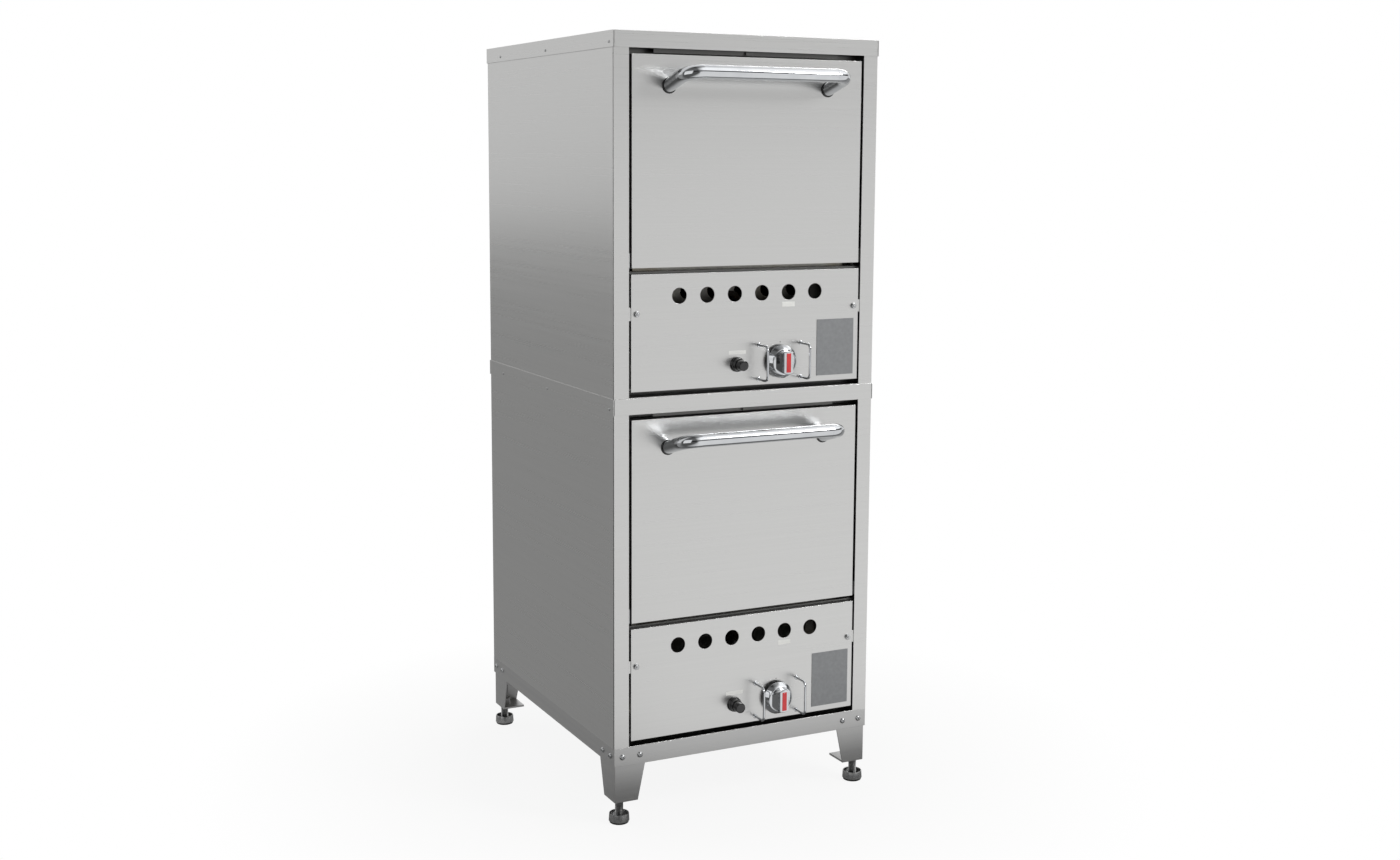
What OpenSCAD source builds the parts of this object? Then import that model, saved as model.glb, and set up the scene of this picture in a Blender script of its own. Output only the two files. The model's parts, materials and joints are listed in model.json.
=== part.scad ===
// Double-deck gas pizza and bake oven on a leg stand. Millimetres, Z up, the front faces -Y.
// The origin is on the floor, under the middle of the overall box.
// A deck's own frame has X across, Y back from the front face and Z up from the deck's top.

/* [Body] */
// Width over the side panels
body_w = 700; // [660:5:760]
// Depth from the front face to the outside of the rear panel
body_d = 840; // [780:5:920]
// Thickness of the stainless outer sheet
sheet = 1.5; // [1:0.1:2]
// Depth of the cap's turned-down edge
cap_h = 38; // [32:1:48]
// Overhang of the cap beyond the body
cap_overhang = 2; // [2:0.5:4]
// Width of the open seam at the cap's front corners
cap_seam = 1.2; // [0.6:0.2:2]
// Width of the front stiles
stile_w = 38; // [34:1:46]
// Width of the side panels' inward returns
side_return = 20; // [14:1:28]
// Diameter of the cap screws' heads
cap_screw_head_d = 6.5; // [5:0.5:9]
// Diameter of the cap screws' shanks
cap_screw_d = 4; // [3:0.5:4.5]

/* [Door] */
// Height of the door
door_h = 486; // [460:2:540]
// Thickness of the door
door_t = 36; // [32:1:42]
// Gap between the door's side and the stile
door_side_gap = 7; // [6:0.5:9]
// Gap between the cap's edge and the door's top
door_top_gap = 13.5; // [12:0.5:18]
// Gap under the door, and again under the control panel
door_bottom_gap = 14.5; // [13.5:0.5:18]
// Depth of the door shell's turned edges
shell_depth = 30; // [24:1:31]
// Width of the sealing strip round the oven mouth
seal_w = 11; // [8:1:11]

/* [Door handle] */
// Outer diameter of the handle tube
handle_d = 32; // [28:1:36]
// Wall of the handle tube
handle_wall = 2.5; // [1.5:0.5:4]
// Distance between the handle's legs
handle_span = 422; // [360:2:460]
// Distance of the handle's bar in front of the door
handle_reach = 98; // [80:1:110]
// Upward slope of the handle's legs, in degrees
handle_tilt = 16; // [0:1:20]
// Bend radius at the middle of the handle tube
handle_bend = 36; // [28:1:44]
// Step in diameter from the handle's elbows to its straight tubes
elbow_step = 0.3; // [0.2:0.1:1]
// Height of the handle's feet below the door's top
handle_drop = 69.5; // [60:0.5:90]
// Length of the ferrules at the handle's feet
ferrule_l = 3; // [2:0.5:6]

/* [Door hinge] */
// Height of the hinge axis above the door's bottom
hinge_up = 14; // [13:0.5:15]
// Diameter of the hinge pins
hinge_pin_d = 10; // [8:0.5:11]
// Length of the counterbalance arm from the hinge axis
arm_l = 60; // [50:1:66]
// Angle of the arm below the level at rest, in degrees
arm_angle = 70; // [66:1:76]
// Thickness of the arm
arm_t = 4; // [3:0.5:4]
// Diameter of the cross pins that hold the springs
spring_pin_d = 6; // [5:0.5:7]
// Outer diameter of the spring's coil
spring_d = 11; // [9:0.5:11]
// Diameter of the spring wire
spring_wire_d = 2; // [1.5:0.25:2.25]
// Whole turns in a spring
spring_turns = 12; // [8:1:16]

/* [Control panel] */
// Height of the control panel
panel_h = 273.5; // [264:0.5:300]
// Gap between the control panel's side and the stile
panel_side_gap = 5.5; // [3:0.5:8]
// Diameter of the round inspection and air holes
air_hole_d = 38; // [30:1:44]
// Distance from hole to hole
air_hole_pitch = 73.2; // [66:0.2:78]
// Number of air holes
air_holes = 6; // [4:2:6]
// Height of the air holes' centres below the panel's top
air_hole_drop = 52.3; // [44:0.1:60]
// Width of the instruction plate
plate_w = 104; // [80:1:112]
// Height of the instruction plate
plate_h = 138; // [110:1:142]
// Distance of the panel fixings from the deck's side
fixing_inset = 57; // [53:1:62]
// Height of the panel fixings below the panel's top
fixing_drop = 92; // [80:1:100]

/* [Thermostat knob] */
// Distance of the knob to the right of the middle
knob_x = 88; // [84:1:96]
// Height of the knob above the panel's bottom
knob_up = 54.5; // [52:0.5:60]
// Diameter of the knob's skirt
knob_d = 80; // [70:1:84]
// Diameter of the knob's front face
knob_face_d = 62; // [60:1:66]
// Gap between the panel and the knob's skirt
knob_gap = 10; // [6:1:14]
// Height of the skirt
knob_skirt_h = 14; // [12:1:18]
// Width of the knob's bar grip
grip_w = 20; // [18:1:24]
// Length of the bar grip
grip_l = 56; // [52:1:60]
// Height of the bar grip above the skirt
grip_h = 20; // [16:1:26]
// Diameter of the thermostat shaft
shaft_d = 8; // [6:0.5:9]

/* [Knob guards] */
// Diameter of the guard wire
guard_wire_d = 6; // [5:0.5:7]
// Distance between the two guards
guard_span = 116; // [110:1:124]
// Height of a guard between its legs
guard_h = 83; // [76:1:90]
// Distance of a guard in front of the panel
guard_reach = 45; // [36:1:56]
// Bend radius at the middle of the guard wire
guard_bend = 12; // [9:1:18]

/* [Igniter] */
// Distance of the igniter from the middle, left is negative
igniter_x = -30; // [-60:1:-26]
// Diameter of the igniter's base ring
igniter_d = 37; // [34:1:44]
// Diameter of the push button
button_d = 25; // [22:0.5:26]
// Distance of the button's face in front of the panel
button_reach = 38; // [32:1:42]
// Travel of the button
button_travel = 6; // [3:0.5:7]

/* [Oven chamber] */
// Distance of the chamber's inside behind the door's edge, at each side
chamber_inset = 33; // [33:1:50]
// Thickness of the chamber's walls
chamber_wall = 2; // [1.5:0.5:3]
// Thickness of the insulation behind the chamber
rear_insulation_t = 66; // [50:1:90]
// Thickness of the baking stone
stone_t = 38; // [25:1:42]
// Gap round the stone for the hot gas
stone_gap = 14; // [10:1:18]
// Height of the flue duct
flue_h = 70; // [50:1:90]
// Width of the flue duct
flue_w = 160; // [120:5:200]
// Length of the flue duct and gas inlet behind the rear panel
rear_reach = 45; // [30:1:60]

/* [Burner] */
// Distance of the bulkhead behind the front face
bulkhead_y = 108; // [102:1:120]
// Height of the burner box
burner_box_h = 166; // [160:1:180]
// Diameter of the burner tubes
burner_d = 38; // [32:1:42]
// Distance between burner tubes
burner_pitch = 150; // [120:5:170]
// Height of the burner tubes' middle above the burner box floor
burner_up = 68; // [50:1:70]
// Diameter of the gas supply pipe
supply_d = 21.3; // [17:0.1:24]
// Length of the thread at the gas inlet's end
inlet_thread_l = 20; // [12:1:28]
// Diameter of the pipe to the burner
feed_d = 16; // [12:0.5:18]
// Distance of the gas inlet to the right of the middle
inlet_x = 250; // [220:5:280]

/* [Stand] */
// Height of the lower deck's underside above the floor
stand_h = 190; // [175:1:220]
// Height of the base frame's band
band_h = 44; // [40:1:52]
// Thickness of the base frame and leg sheet
leg_sheet = 3; // [2:0.5:4]
// Width of a leg's front face at the top
leg_w_top = 79; // [70:1:95]
// Width of a leg's front face at the bottom
leg_w_bottom = 60; // [56:1:68]
// Width of a leg's side face at the top
leg_d_top = 90; // [78:1:100]
// Width of a leg's side face at the bottom
leg_d_bottom = 65; // [60:1:76]
// Height of a leg's lower end above the floor
leg_up = 55; // [48:1:65]
// Distance of a foot's centre from the faces of the stand
foot_inset = 22; // [20:1:28]
// Diameter of a foot's base
foot_d = 50; // [44:1:60]
// Diameter of a foot's threaded stud
stud_d = 20; // [16:1:22]
// Diameter of the leg bolts' heads
bolt_head_d = 14; // [12:1:18]
// Diameter of the leg bolts
bolt_d = 8; // [6:0.5:9]
// Distance between the two leg bolts on a face
bolt_pitch = 46; // [40:1:52]

/* [Hidden] */
$fn = 64;

// Colours
stainless = "#c9c9c9";
chrome = "#dcdcdc";
aluminised = "#9a9c9a";
black_plastic = "#141414";
wool = "#c8bfa0";
stone_grey = "#b9ad96";
cast_grey = "#8b8d8e";

// Small overlap used where a cut runs past a face
eps = 0.5;
// Radial clearance of a turning or sliding fit
run_fit = 0.05;
// Radial clearance of a screw in its hole
hole_fit = 0.25;
// Gap at which a piece rests beside its seat without touching
seat_gap = 0.3;
// Hair gap between separate pieces of one group that are seated on each other
hair = 0.1;

// Heights in a deck, measured down from its top
body_hw = body_w / 2;
opening_hw = body_hw - stile_w;
door_hw = opening_hw - door_side_gap;
panel_hw = opening_hw - panel_side_gap;
door_z1 = -(cap_h + door_top_gap);
door_z0 = door_z1 - door_h;
panel_z1 = door_z0 - door_bottom_gap;
panel_z0 = panel_z1 - panel_h;
deck_h = door_bottom_gap - panel_z0;
floor_z = -deck_h + sheet;
pan_z = floor_z + sheet;

// Hinge axis, and how far the door's lower corners swing round it
hinge_y = door_t / 2 - 1;
hinge_z = door_z0 + hinge_up;
rear_corner_r = sqrt(pow(door_t - hinge_y, 2) + pow(hinge_up, 2));
front_corner_r = sqrt(pow(hinge_y, 2) + pow(hinge_up, 2));
swing_gap = 1.4;
frame_depth = hinge_y + rear_corner_r + swing_gap;
rail_top_z = hinge_z - front_corner_r - swing_gap;
rail_y = 14;

// Counterbalance arm and spring
shell_inner_x = door_hw - sheet;
arm_x1 = shell_inner_x - sheet;
arm_x0 = arm_x1 - arm_t;
arm_hub_d = 22;
arm_end_d = 14;
arm_pin_y = hinge_y + arm_l * cos(arm_angle);
arm_pin_z = hinge_z - arm_l * sin(arm_angle);
anchor_y = hinge_y + arm_l - 10;
anchor_hw = 9;
anchor_z = floor_z + 48;
spring_x = arm_x0 - 7;
spring_pin_l = 13;
arm_slot_w = arm_t + spring_pin_l + 2 * eps;
arm_slot_x0 = arm_x0 - spring_pin_l - eps;
pocket_z1 = hinge_z + 44;

// Face frame
pan_lap = 12;
front_floor_d = anchor_y + anchor_hw + hair + pan_lap;
stile_return = 15;
stile_lip = 16;
rail_h = 13.5;
stiffener_w = 2 * (opening_hw - 67);
stiffener_y = 12;

// Oven chamber
chamber_hw = door_hw - chamber_inset;
chamber_out_x = chamber_hw + chamber_wall;
chamber_y0 = frame_depth + chamber_wall;
chamber_y1 = body_d - 2 * sheet - rear_insulation_t - chamber_wall;
chamber_z1 = door_z1 - 20;
mouth_z0 = hinge_z + rear_corner_r + 3;
stone_z1 = mouth_z0 + 1.5;
stone_z0 = stone_z1 - stone_t;
chamber_z0 = stone_z0 - chamber_wall;
chamber_top_z = chamber_z1 + chamber_wall;
flange_hw = opening_hw + stile_lip;
flange_z1 = -cap_h - 2;
flange_z0 = chamber_z0 - 15;
ledge_w = stone_gap + 16;

// Sealing strip on the chamber's flange
seal_hw = chamber_hw + 1;
seal_z0 = mouth_z0 - seal_w;
seal_z1 = chamber_z1 + 1;

// Burner box and burner
box_z0 = chamber_z0 - burner_box_h;
box_floor_z = box_z0 + chamber_wall;
burner_z = box_floor_z + burner_up;
air_z = panel_z1 - air_hole_drop;
manifold_y = bulkhead_y + 42;
burner_y1 = chamber_y1 - 34;
burner_wall = 2;
bell_l = 16;
bell_d = 54;
bell_y = bulkhead_y - 17;
baffle_z = burner_z + burner_d / 2 + 34;
baffle_t = 3;
baffle_lug_l = 34;
clip_play = 3;
clip_l = baffle_lug_l + 2 * clip_play;
clip_reach = 10;
clip_front_y = bulkhead_y + 52;
clip_back_y = chamber_y1 - 130;

// Controls
knob_z = panel_z0 + knob_up;
igniter_z = knob_z - 2;
pipe_y = 57;
feed_bend = 14;
valve_w = 76;
valve_h = 70;
valve_y0 = 22;
valve_y1 = 2 * pipe_y - valve_y0;
valve_port_l = 6;
fixing_x = body_hw - fixing_inset;
fixing_z = panel_z1 - fixing_drop;
fixing_d = 5;
plate_t = 1;

// Flue
flue_z = chamber_z1 - 14 - flue_h / 2;

// Depth of the front face, so that the overall box is centred on the origin
handle_front = handle_reach + handle_d / 2;
front_y = (handle_front - body_d - rear_reach) / 2;

// Stand
leg_x = body_hw - leg_sheet;
foot_plate_t = 5;
bolt_z = stand_h - 22;
bolt_edge = 21;

// A box between two corners
module block(x0, x1, y0, y1, z0, z1) {
    translate([x0, y0, z0]) cube([x1 - x0, y1 - y0, z1 - z0]);
}

// Round bars along each axis
module bar_x(y, z, d, x0, x1) {
    translate([x0, y, z]) rotate([0, 90, 0]) cylinder(d = d, h = x1 - x0);
}

module bar_y(x, z, d, y0, y1) {
    translate([x, y0, z]) rotate([-90, 0, 0]) cylinder(d = d, h = y1 - y0);
}

module bar_z(x, y, d, z0, z1) {
    translate([x, y, z0]) cylinder(d = d, h = z1 - z0);
}

// A hexagon along Z by its width across flats
module hex(flats, h) {
    cylinder(d = flats / cos(30), h = h, $fn = 6);
}

// A quarter of a bent bar, from +X to +Y round Z
module quarter_bend(r, d) {
    rotate_extrude(angle = 90) translate([r, 0]) circle(d = d);
}

// Repeats its children at the left and the right
module both_sides() {
    children();
    mirror([1, 0, 0]) children();
}

// Moves from a deck's own frame to its place: deck 0 is the lower one, deck 1 the upper
module deck(i) {
    translate([0, front_y, stand_h + (i + 1) * deck_h]) children();
}

module both_decks() {
    for (i = [0, 1]) deck(i) children();
}

// Moves to a point on the front face, with +Z out of the front and +Y up
module on_front(x, z) {
    translate([x, 0, z]) rotate([90, 0, 0]) children();
}

// Places of the cap screws along the depth
cap_screw_front = 22;
cap_screw_middle = 7;
cap_screw_back = 105;
cap_screw_drop = 12.5;
function cap_screw_rows() = [cap_screw_front, body_d / 2 - cap_screw_middle, body_d - cap_screw_back];

module cap_screw_holes() {
    for (y = cap_screw_rows())
        bar_x(y, cap_screw_z(), cap_screw_d + 2 * hole_fit, body_hw - 4 * sheet, body_hw + cap_overhang + eps);
}

function cap_screw_z() = cap_screw_drop - cap_h;

module side_panel() {
    color(stainless) difference() {
        union() {
            block(body_hw - sheet, body_hw, sheet + seat_gap, body_d - sheet, -deck_h, -sheet);
            block(body_hw - side_return, body_hw, body_d - 2 * sheet, body_d - sheet, -deck_h, -sheet);
            block(body_hw - side_return, body_hw, front_floor_d + seat_gap, body_d - sheet, -deck_h, floor_z);
        }
        cap_screw_holes();
    }
}

module rear_panel() {
    color(stainless) difference() {
        block(-body_hw, body_hw, body_d - sheet, body_d, -deck_h, -sheet);
        block(-flue_w / 2 - eps, flue_w / 2 + eps, body_d - 2 * sheet, body_d + eps,
              flue_z - flue_h / 2 - eps, flue_z + flue_h / 2 + eps);
        bar_y(inlet_x, knob_z, supply_d + 2, body_d - 2 * sheet, body_d + eps);
    }
}

module top_cap() {
    cap_hw = body_hw + cap_overhang;
    color(stainless) difference() {
        block(-cap_hw, cap_hw, -cap_overhang, body_d + cap_overhang, -cap_h, 0);
        block(sheet - cap_hw, cap_hw - sheet, sheet - cap_overhang, body_d + cap_overhang - sheet,
              -cap_h - eps, -sheet);
        both_sides() {
            block(cap_hw - sheet - cap_seam, cap_hw - sheet, -cap_overhang - eps, sheet - cap_overhang + eps,
                  -cap_h - eps, -sheet);
            cap_screw_holes();
        }
    }
}

module floor_pan() {
    color(aluminised)
        block(sheet - body_hw, body_hw - sheet, front_floor_d - pan_lap, body_d - 2 * sheet, floor_z, pan_z);
}

// A stile's folded section, closed by the side panel
module stile() {
    translate([0, 0, -deck_h]) linear_extrude(deck_h - sheet) {
        translate([opening_hw, 0]) square([stile_w, sheet]);
        translate([opening_hw, 0]) square([sheet, frame_depth]);
        translate([opening_hw, frame_depth - sheet]) square([stile_lip + 2, sheet]);
        translate([body_hw - 2 * sheet, 0]) square([sheet, stile_return]);
    }
}

// Tab behind the control panel that its fixing goes through
module fixing_tab() {
    difference() {
        block(fixing_x - 9, opening_hw + sheet, sheet, 2 * sheet, fixing_z - 15, fixing_z + 15);
        bar_y(fixing_x, fixing_z, fixing_d + 2 * hole_fit, 0, 3 * sheet);
    }
}

// Upright with a cross pin, to which a spring is hooked
module spring_anchor() {
    block(arm_x0, arm_x0 + 3, anchor_y - anchor_hw, anchor_y + anchor_hw, -deck_h, anchor_z + anchor_hw);
    bar_x(anchor_y, anchor_z, spring_pin_d, arm_x0 - spring_pin_l, arm_x0 + eps);
}

module face_frame() {
    rail_hw = opening_hw + sheet;
    shelf_hw = arm_slot_x0 - 1;
    color(stainless) union() {
        both_sides() {
            stile();
            fixing_tab();
            spring_anchor();
        }
        block(sheet - body_hw, body_hw - sheet, 0, front_floor_d, -deck_h, floor_z);
        block(-rail_hw, rail_hw, frame_depth - sheet, frame_depth, floor_z, panel_z0 + 4);
        block(-rail_hw, rail_hw, rail_y, rail_y + sheet, rail_top_z - rail_h, rail_top_z);
        block(-shelf_hw, shelf_hw, rail_y, frame_depth, rail_top_z - sheet, rail_top_z);
        block(-rail_hw, rail_hw, 0, frame_depth, -2 * sheet, -sheet);
        block(-rail_hw, rail_hw, frame_depth - sheet, frame_depth, door_z1 - 4, -sheet);
        block(-stiffener_w / 2, stiffener_w / 2, stiffener_y, stiffener_y + sheet, door_z1 + 4, -sheet);
        block(-9, 9, stiffener_y - 6, stiffener_y + sheet, door_z1 + 4.5, door_z1 + 12);
    }
}

module chamber() {
    color(aluminised) difference() {
        union() {
            block(-chamber_out_x, chamber_out_x, frame_depth, chamber_y1 + chamber_wall, chamber_z0, chamber_top_z);
            block(-flange_hw, flange_hw, frame_depth, chamber_y0, flange_z0, flange_z1);
        }
        block(-chamber_hw, chamber_hw, frame_depth - eps, chamber_y1, mouth_z0, chamber_z1);
        block(-chamber_hw, chamber_hw, chamber_y0, chamber_y1, stone_z0, chamber_z1);
        block(ledge_w - chamber_hw, chamber_hw - ledge_w, chamber_y0 + ledge_w, chamber_y1 - ledge_w,
              chamber_z0 - eps, stone_z1);
        block(-flue_w / 2 + sheet, flue_w / 2 - sheet, chamber_y1 - eps, chamber_y1 + chamber_wall + eps,
              flue_z - flue_h / 2 + sheet, flue_z + flue_h / 2 - sheet);
        both_sides() {
            block(arm_slot_x0, arm_slot_x0 + arm_slot_w, frame_depth - eps, chamber_y0 + eps,
                  flange_z0 - eps, pocket_z1 - 10);
            for (y = [chamber_y0 + 60 : 90 : chamber_y1 - 90])
                block(chamber_hw - stone_gap + 1, chamber_hw - 2, y, y + 60, chamber_z0 - eps, stone_z0 + eps);
        }
        bar_z(sensor_x(), pipe_y, capillary_d + 2, chamber_z0 - eps, stone_z0 + eps);
    }
}

module baking_stone() {
    color(stone_grey) both_sides()
        block(eps, chamber_hw - stone_gap, chamber_y0 + 2, chamber_y1 - stone_gap, stone_z0, stone_z1);
}

// One small clip in the burner box that carries a corner of the baffle
module baffle_clip(y) {
    block(chamber_hw - clip_reach, chamber_hw + eps, y, y + clip_l, baffle_z - 1.5, baffle_z);
}

module burner_box() {
    color(aluminised) difference() {
        union() {
            difference() {
                block(-chamber_out_x, chamber_out_x, bulkhead_y, chamber_y1 + chamber_wall, box_z0, chamber_z0);
                block(-chamber_hw, chamber_hw, bulkhead_y + chamber_wall, chamber_y1, box_floor_z, chamber_z0 + eps);
            }
            block(sheet - body_hw, body_hw - sheet, bulkhead_y, bulkhead_y + chamber_wall, pan_z, chamber_z0);
            both_sides() {
                block(chamber_out_x, body_hw - sheet, bulkhead_y, bulkhead_y + chamber_wall, pan_z, pocket_z1);
                baffle_clip(clip_front_y);
                baffle_clip(clip_back_y);
            }
        }
        for (i = [0 : air_holes - 1])
            bar_y((i - (air_holes - 1) / 2) * air_hole_pitch, air_z, air_hole_d,
                  bulkhead_y - eps, bulkhead_y + chamber_wall + eps);
        bar_y(0, burner_z, burner_d - 6 + 2 * hole_fit, bulkhead_y - eps, bulkhead_y + chamber_wall + eps);
        bar_y(inlet_x, knob_z, supply_d + 1, bulkhead_y - eps, bulkhead_y + chamber_wall + eps);
    }
}

module flame_baffle() {
    hw = chamber_hw - 40;
    color(aluminised) union() {
        block(-hw, hw, bulkhead_y + 40, chamber_y1 - 60, baffle_z, baffle_z + baffle_t);
        for (y = [clip_front_y + clip_play, clip_back_y + clip_play])
            block(-chamber_hw, chamber_hw, y, y + baffle_lug_l, baffle_z, baffle_z + baffle_t);
    }
}

// The burner's pipes: a venturi, a cross pipe and three flame tubes, all shrunk by the same wall
module burner_pipes(wall, past) {
    cross_d = burner_d + 8 - 2 * wall;
    tube_d = burner_d - 2 * wall;
    throat_d = burner_d - 6 - 2 * wall;
    cross_hw = burner_pitch + burner_d / 2 + 6 - wall;
    bar_x(manifold_y, burner_z, cross_d, -cross_hw, cross_hw);
    for (x = [-burner_pitch, 0, burner_pitch])
        bar_y(x, burner_z, tube_d, manifold_y, burner_y1 - wall);
    bar_y(0, burner_z, throat_d, bell_y - past, manifold_y);
}

module burner() {
    port_d = 3.5;
    port_pitch = 26;
    bell_r = bell_d / 2;
    throat_r = burner_d / 2 - 3;
    foot_rows = [manifold_y + 60, burner_y1 - 50];
    color(cast_grey) difference() {
        union() {
            burner_pipes(0, 0);
            translate([0, bell_y, burner_z]) rotate([-90, 0, 0]) rotate_extrude() polygon([
                [throat_r - burner_wall, 0], [bell_r, 0], [bell_r, burner_wall], [throat_r, bell_l],
                [throat_r - burner_wall, bell_l]
            ]);
            for (x = [-burner_pitch, 0, burner_pitch], y = foot_rows)
                block(x - 14, x + 14, y, y + 3, box_floor_z, burner_z);
        }
        burner_pipes(burner_wall, eps);
        for (x = [-burner_pitch, 0, burner_pitch], y = [manifold_y + 36 : port_pitch : burner_y1 - 12])
            bar_z(x, y, port_d, burner_z, burner_z + burner_d);
    }
}

// Pilot burner, thermocouple and spark electrode on one plate behind the bulkhead
module pilot_burner() {
    base_w = 28;
    base_d = 16;
    base_t = 2;
    reach = 20;
    x0 = air_hole_pitch + 1 - base_w / 2;
    y0 = bulkhead_y + chamber_wall;
    tube_y = y0 + 9;
    color(cast_grey) union() {
        block(x0, x0 + base_w, y0, y0 + base_t, burner_z - reach, burner_z + 6);
        block(x0, x0 + base_w, y0, y0 + base_d, burner_z - base_t, burner_z);
        bar_z(x0 + 6, tube_y, 9, burner_z - 14, burner_z + 16);
        bar_z(x0 + 16, tube_y, 5, burner_z - 18, burner_z + reach);
        bar_z(x0 + 24, tube_y, 6, burner_z - 12, burner_z + 10);
        bar_z(x0 + 24, tube_y, 2, burner_z - reach, burner_z + reach);
    }
}

// Supply pipe from the inlet behind the oven, at y1, to the thermostat's right side
module supply_run(d, y1, past) {
    r = 30;
    bar_y(inlet_x, knob_z, d, pipe_y + r, y1);
    translate([inlet_x - r, pipe_y + r, knob_z]) rotate([0, 0, -90]) quarter_bend(r, d);
    bar_x(pipe_y, knob_z, d, knob_x + valve_w / 2 + valve_port_l - past, inlet_x - r);
}

// Pipe from the thermostat's left side up to the orifice in front of the burner
module feed_run(d, past) {
    r = feed_bend;
    bar_x(pipe_y, knob_z, d, r, knob_x - valve_w / 2 - valve_port_l + past);
    translate([r, pipe_y, knob_z + r]) rotate([90, 180, 0]) quarter_bend(r, d);
    bar_z(0, pipe_y, d, knob_z + r, burner_z - r);
    translate([0, pipe_y + r, burner_z - r]) rotate([90, 0, 90]) rotate([0, 0, 90]) quarter_bend(r, d);
    bar_y(0, burner_z, d, pipe_y + r, pipe_y + r + 6 + past);
}

module gas_pipes() {
    orifice_y = pipe_y + feed_bend + 5;
    pipe_wall = 2.5;
    thread_depth = 0.3;
    inlet_y1 = body_d + rear_reach;
    color(cast_grey) {
        difference() {
            union() {
                supply_run(supply_d, inlet_y1 - inlet_thread_l, 0);
                bar_y(inlet_x, knob_z, supply_d - 2 * thread_depth, inlet_y1 - inlet_thread_l - 1, inlet_y1);
            }
            supply_run(supply_d - 2 * pipe_wall, inlet_y1 + eps, eps);
        }
        difference() {
            union() {
                feed_run(feed_d, 0);
                translate([0, orifice_y, burner_z]) rotate([-90, 0, 0]) hex(feed_d + 4, 12);
            }
            feed_run(feed_d - 2 * pipe_wall, eps);
            bar_y(0, burner_z, 2, orifice_y, orifice_y + 12 + eps);
        }
    }
}

// Capillary and bulb of the thermostat
capillary_d = 3;
bulb_d = 9;
bulb_l = 120;
function sensor_x() = chamber_hw - bulb_d / 2 - seat_gap;

// A thin tube through a list of points, round at its corners
module tube_through(points, d) {
    for (i = [0 : len(points) - 2]) {
        step = points[i + 1] - points[i];
        translate(points[i]) sphere(d = d);
        translate(points[i])
            rotate([0, acos(step[2] / norm(step)), atan2(step[1], step[0])])
                cylinder(d = d, h = norm(step));
    }
}

module thermostat() {
    bulb_z = (chamber_z1 + stone_z1) / 2;
    valve_top = knob_z + valve_h / 2;
    route = [
        [knob_x + 20, pipe_y, valve_top - 2],
        [knob_x + 20, pipe_y, valve_top + 22],
        [sensor_x(), pipe_y, valve_top + 22],
        [sensor_x(), pipe_y, bulb_z],
        [sensor_x(), pipe_y + 12, bulb_z]
    ];
    color(cast_grey) difference() {
        union() {
            block(knob_x - valve_w / 2, knob_x + valve_w / 2, valve_y0, valve_y1,
                  knob_z - valve_h / 2, knob_z + valve_h / 2);
            bar_y(knob_x, knob_z, 36, sheet, valve_y0 + eps);
            bar_x(pipe_y, knob_z, 28, knob_x - valve_w / 2 - valve_port_l, knob_x + valve_w / 2 + valve_port_l);
            tube_through(route, capillary_d);
            bar_y(sensor_x(), bulb_z, bulb_d, pipe_y + 10, pipe_y + 10 + bulb_l);
        }
        bar_y(knob_x, knob_z, shaft_d + 2 * run_fit, 0, 30);
    }
}

module knob_shaft() {
    color(cast_grey) bar_y(knob_x, knob_z, shaft_d, -knob_gap - knob_skirt_h + 2, 29);
}

module knob() {
    r0 = knob_d / 2;
    r1 = knob_face_d / 2;
    z0 = knob_gap;
    z1 = knob_gap + knob_skirt_h;
    wall = 2.5;
    bore_r = shaft_d / 2 + run_fit;
    insert_w = grip_w - 7;
    insert_l = grip_l - 9;
    grip_z = z1 + grip_h;
    color(chrome) on_front(knob_x, knob_z) {
        difference() {
            union() {
                rotate_extrude() polygon([
                    [bore_r, z0 + 2], [9, z0 + 2], [9, z1 - wall], [r1 - wall, z1 - wall], [r0 - wall - 1, z0],
                    [r0, z0], [r0, z0 + 1.5], [r1, z1], [0, z1], [0, z1 - 1.8], [bore_r, z1 - 1.8]
                ]);
                intersection() {
                    translate([-grip_w / 2, -grip_l / 2, z1 - 1]) cube([grip_w, grip_l, grip_h + 1]);
                    cylinder(r = grip_l / 2 + 0.6, h = grip_z + eps);
                }
            }
            translate([-insert_w / 2, -insert_l / 2, grip_z - 2]) cube([insert_w, insert_l, 3]);
            translate([-1, r0 - 9, z0 + 9]) cube([2, 8, 8]);
        }
        translate([hair - insert_w / 2, hair - insert_l / 2, grip_z - 2 + hair])
            cube([insert_w - 2 * hair, insert_l - 2 * hair, 1.8]);
    }
}

module control_panel() {
    color(stainless) difference() {
        union() {
            block(-panel_hw, panel_hw, 0, sheet, panel_z0, panel_z1);
            block(-panel_hw, panel_hw, 0, rail_y - 2, panel_z0, panel_z0 + sheet);
            block(-panel_hw, panel_hw, 0, rail_y - 2, panel_z1 - sheet, panel_z1);
        }
        for (i = [0 : air_holes - 1])
            bar_y((i - (air_holes - 1) / 2) * air_hole_pitch, air_z, air_hole_d, -eps, sheet + eps);
        bar_y(knob_x, knob_z, shaft_d + 3, -eps, sheet + eps);
        bar_y(igniter_x, igniter_z, barrel_d + 2 * hole_fit, -eps, sheet + eps);
        for (side = [-1, 1], end = [-1, 1])
            bar_y(knob_x + side * guard_span / 2, knob_z + end * guard_h / 2, guard_wire_d + 2 * hole_fit,
                  -eps, sheet + eps);
        for (side = [-1, 1])
            bar_y(side * fixing_x, fixing_z, fixing_d + 2 * hole_fit, -eps, sheet + eps);
    }
}

module instruction_plate() {
    plate_x1 = fixing_x + 1;
    plate_z1 = fixing_z - 30;
    color("#8f9092") block(plate_x1 - plate_w, plate_x1, -plate_t, 0, plate_z1 - plate_h, plate_z1);
}

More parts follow.
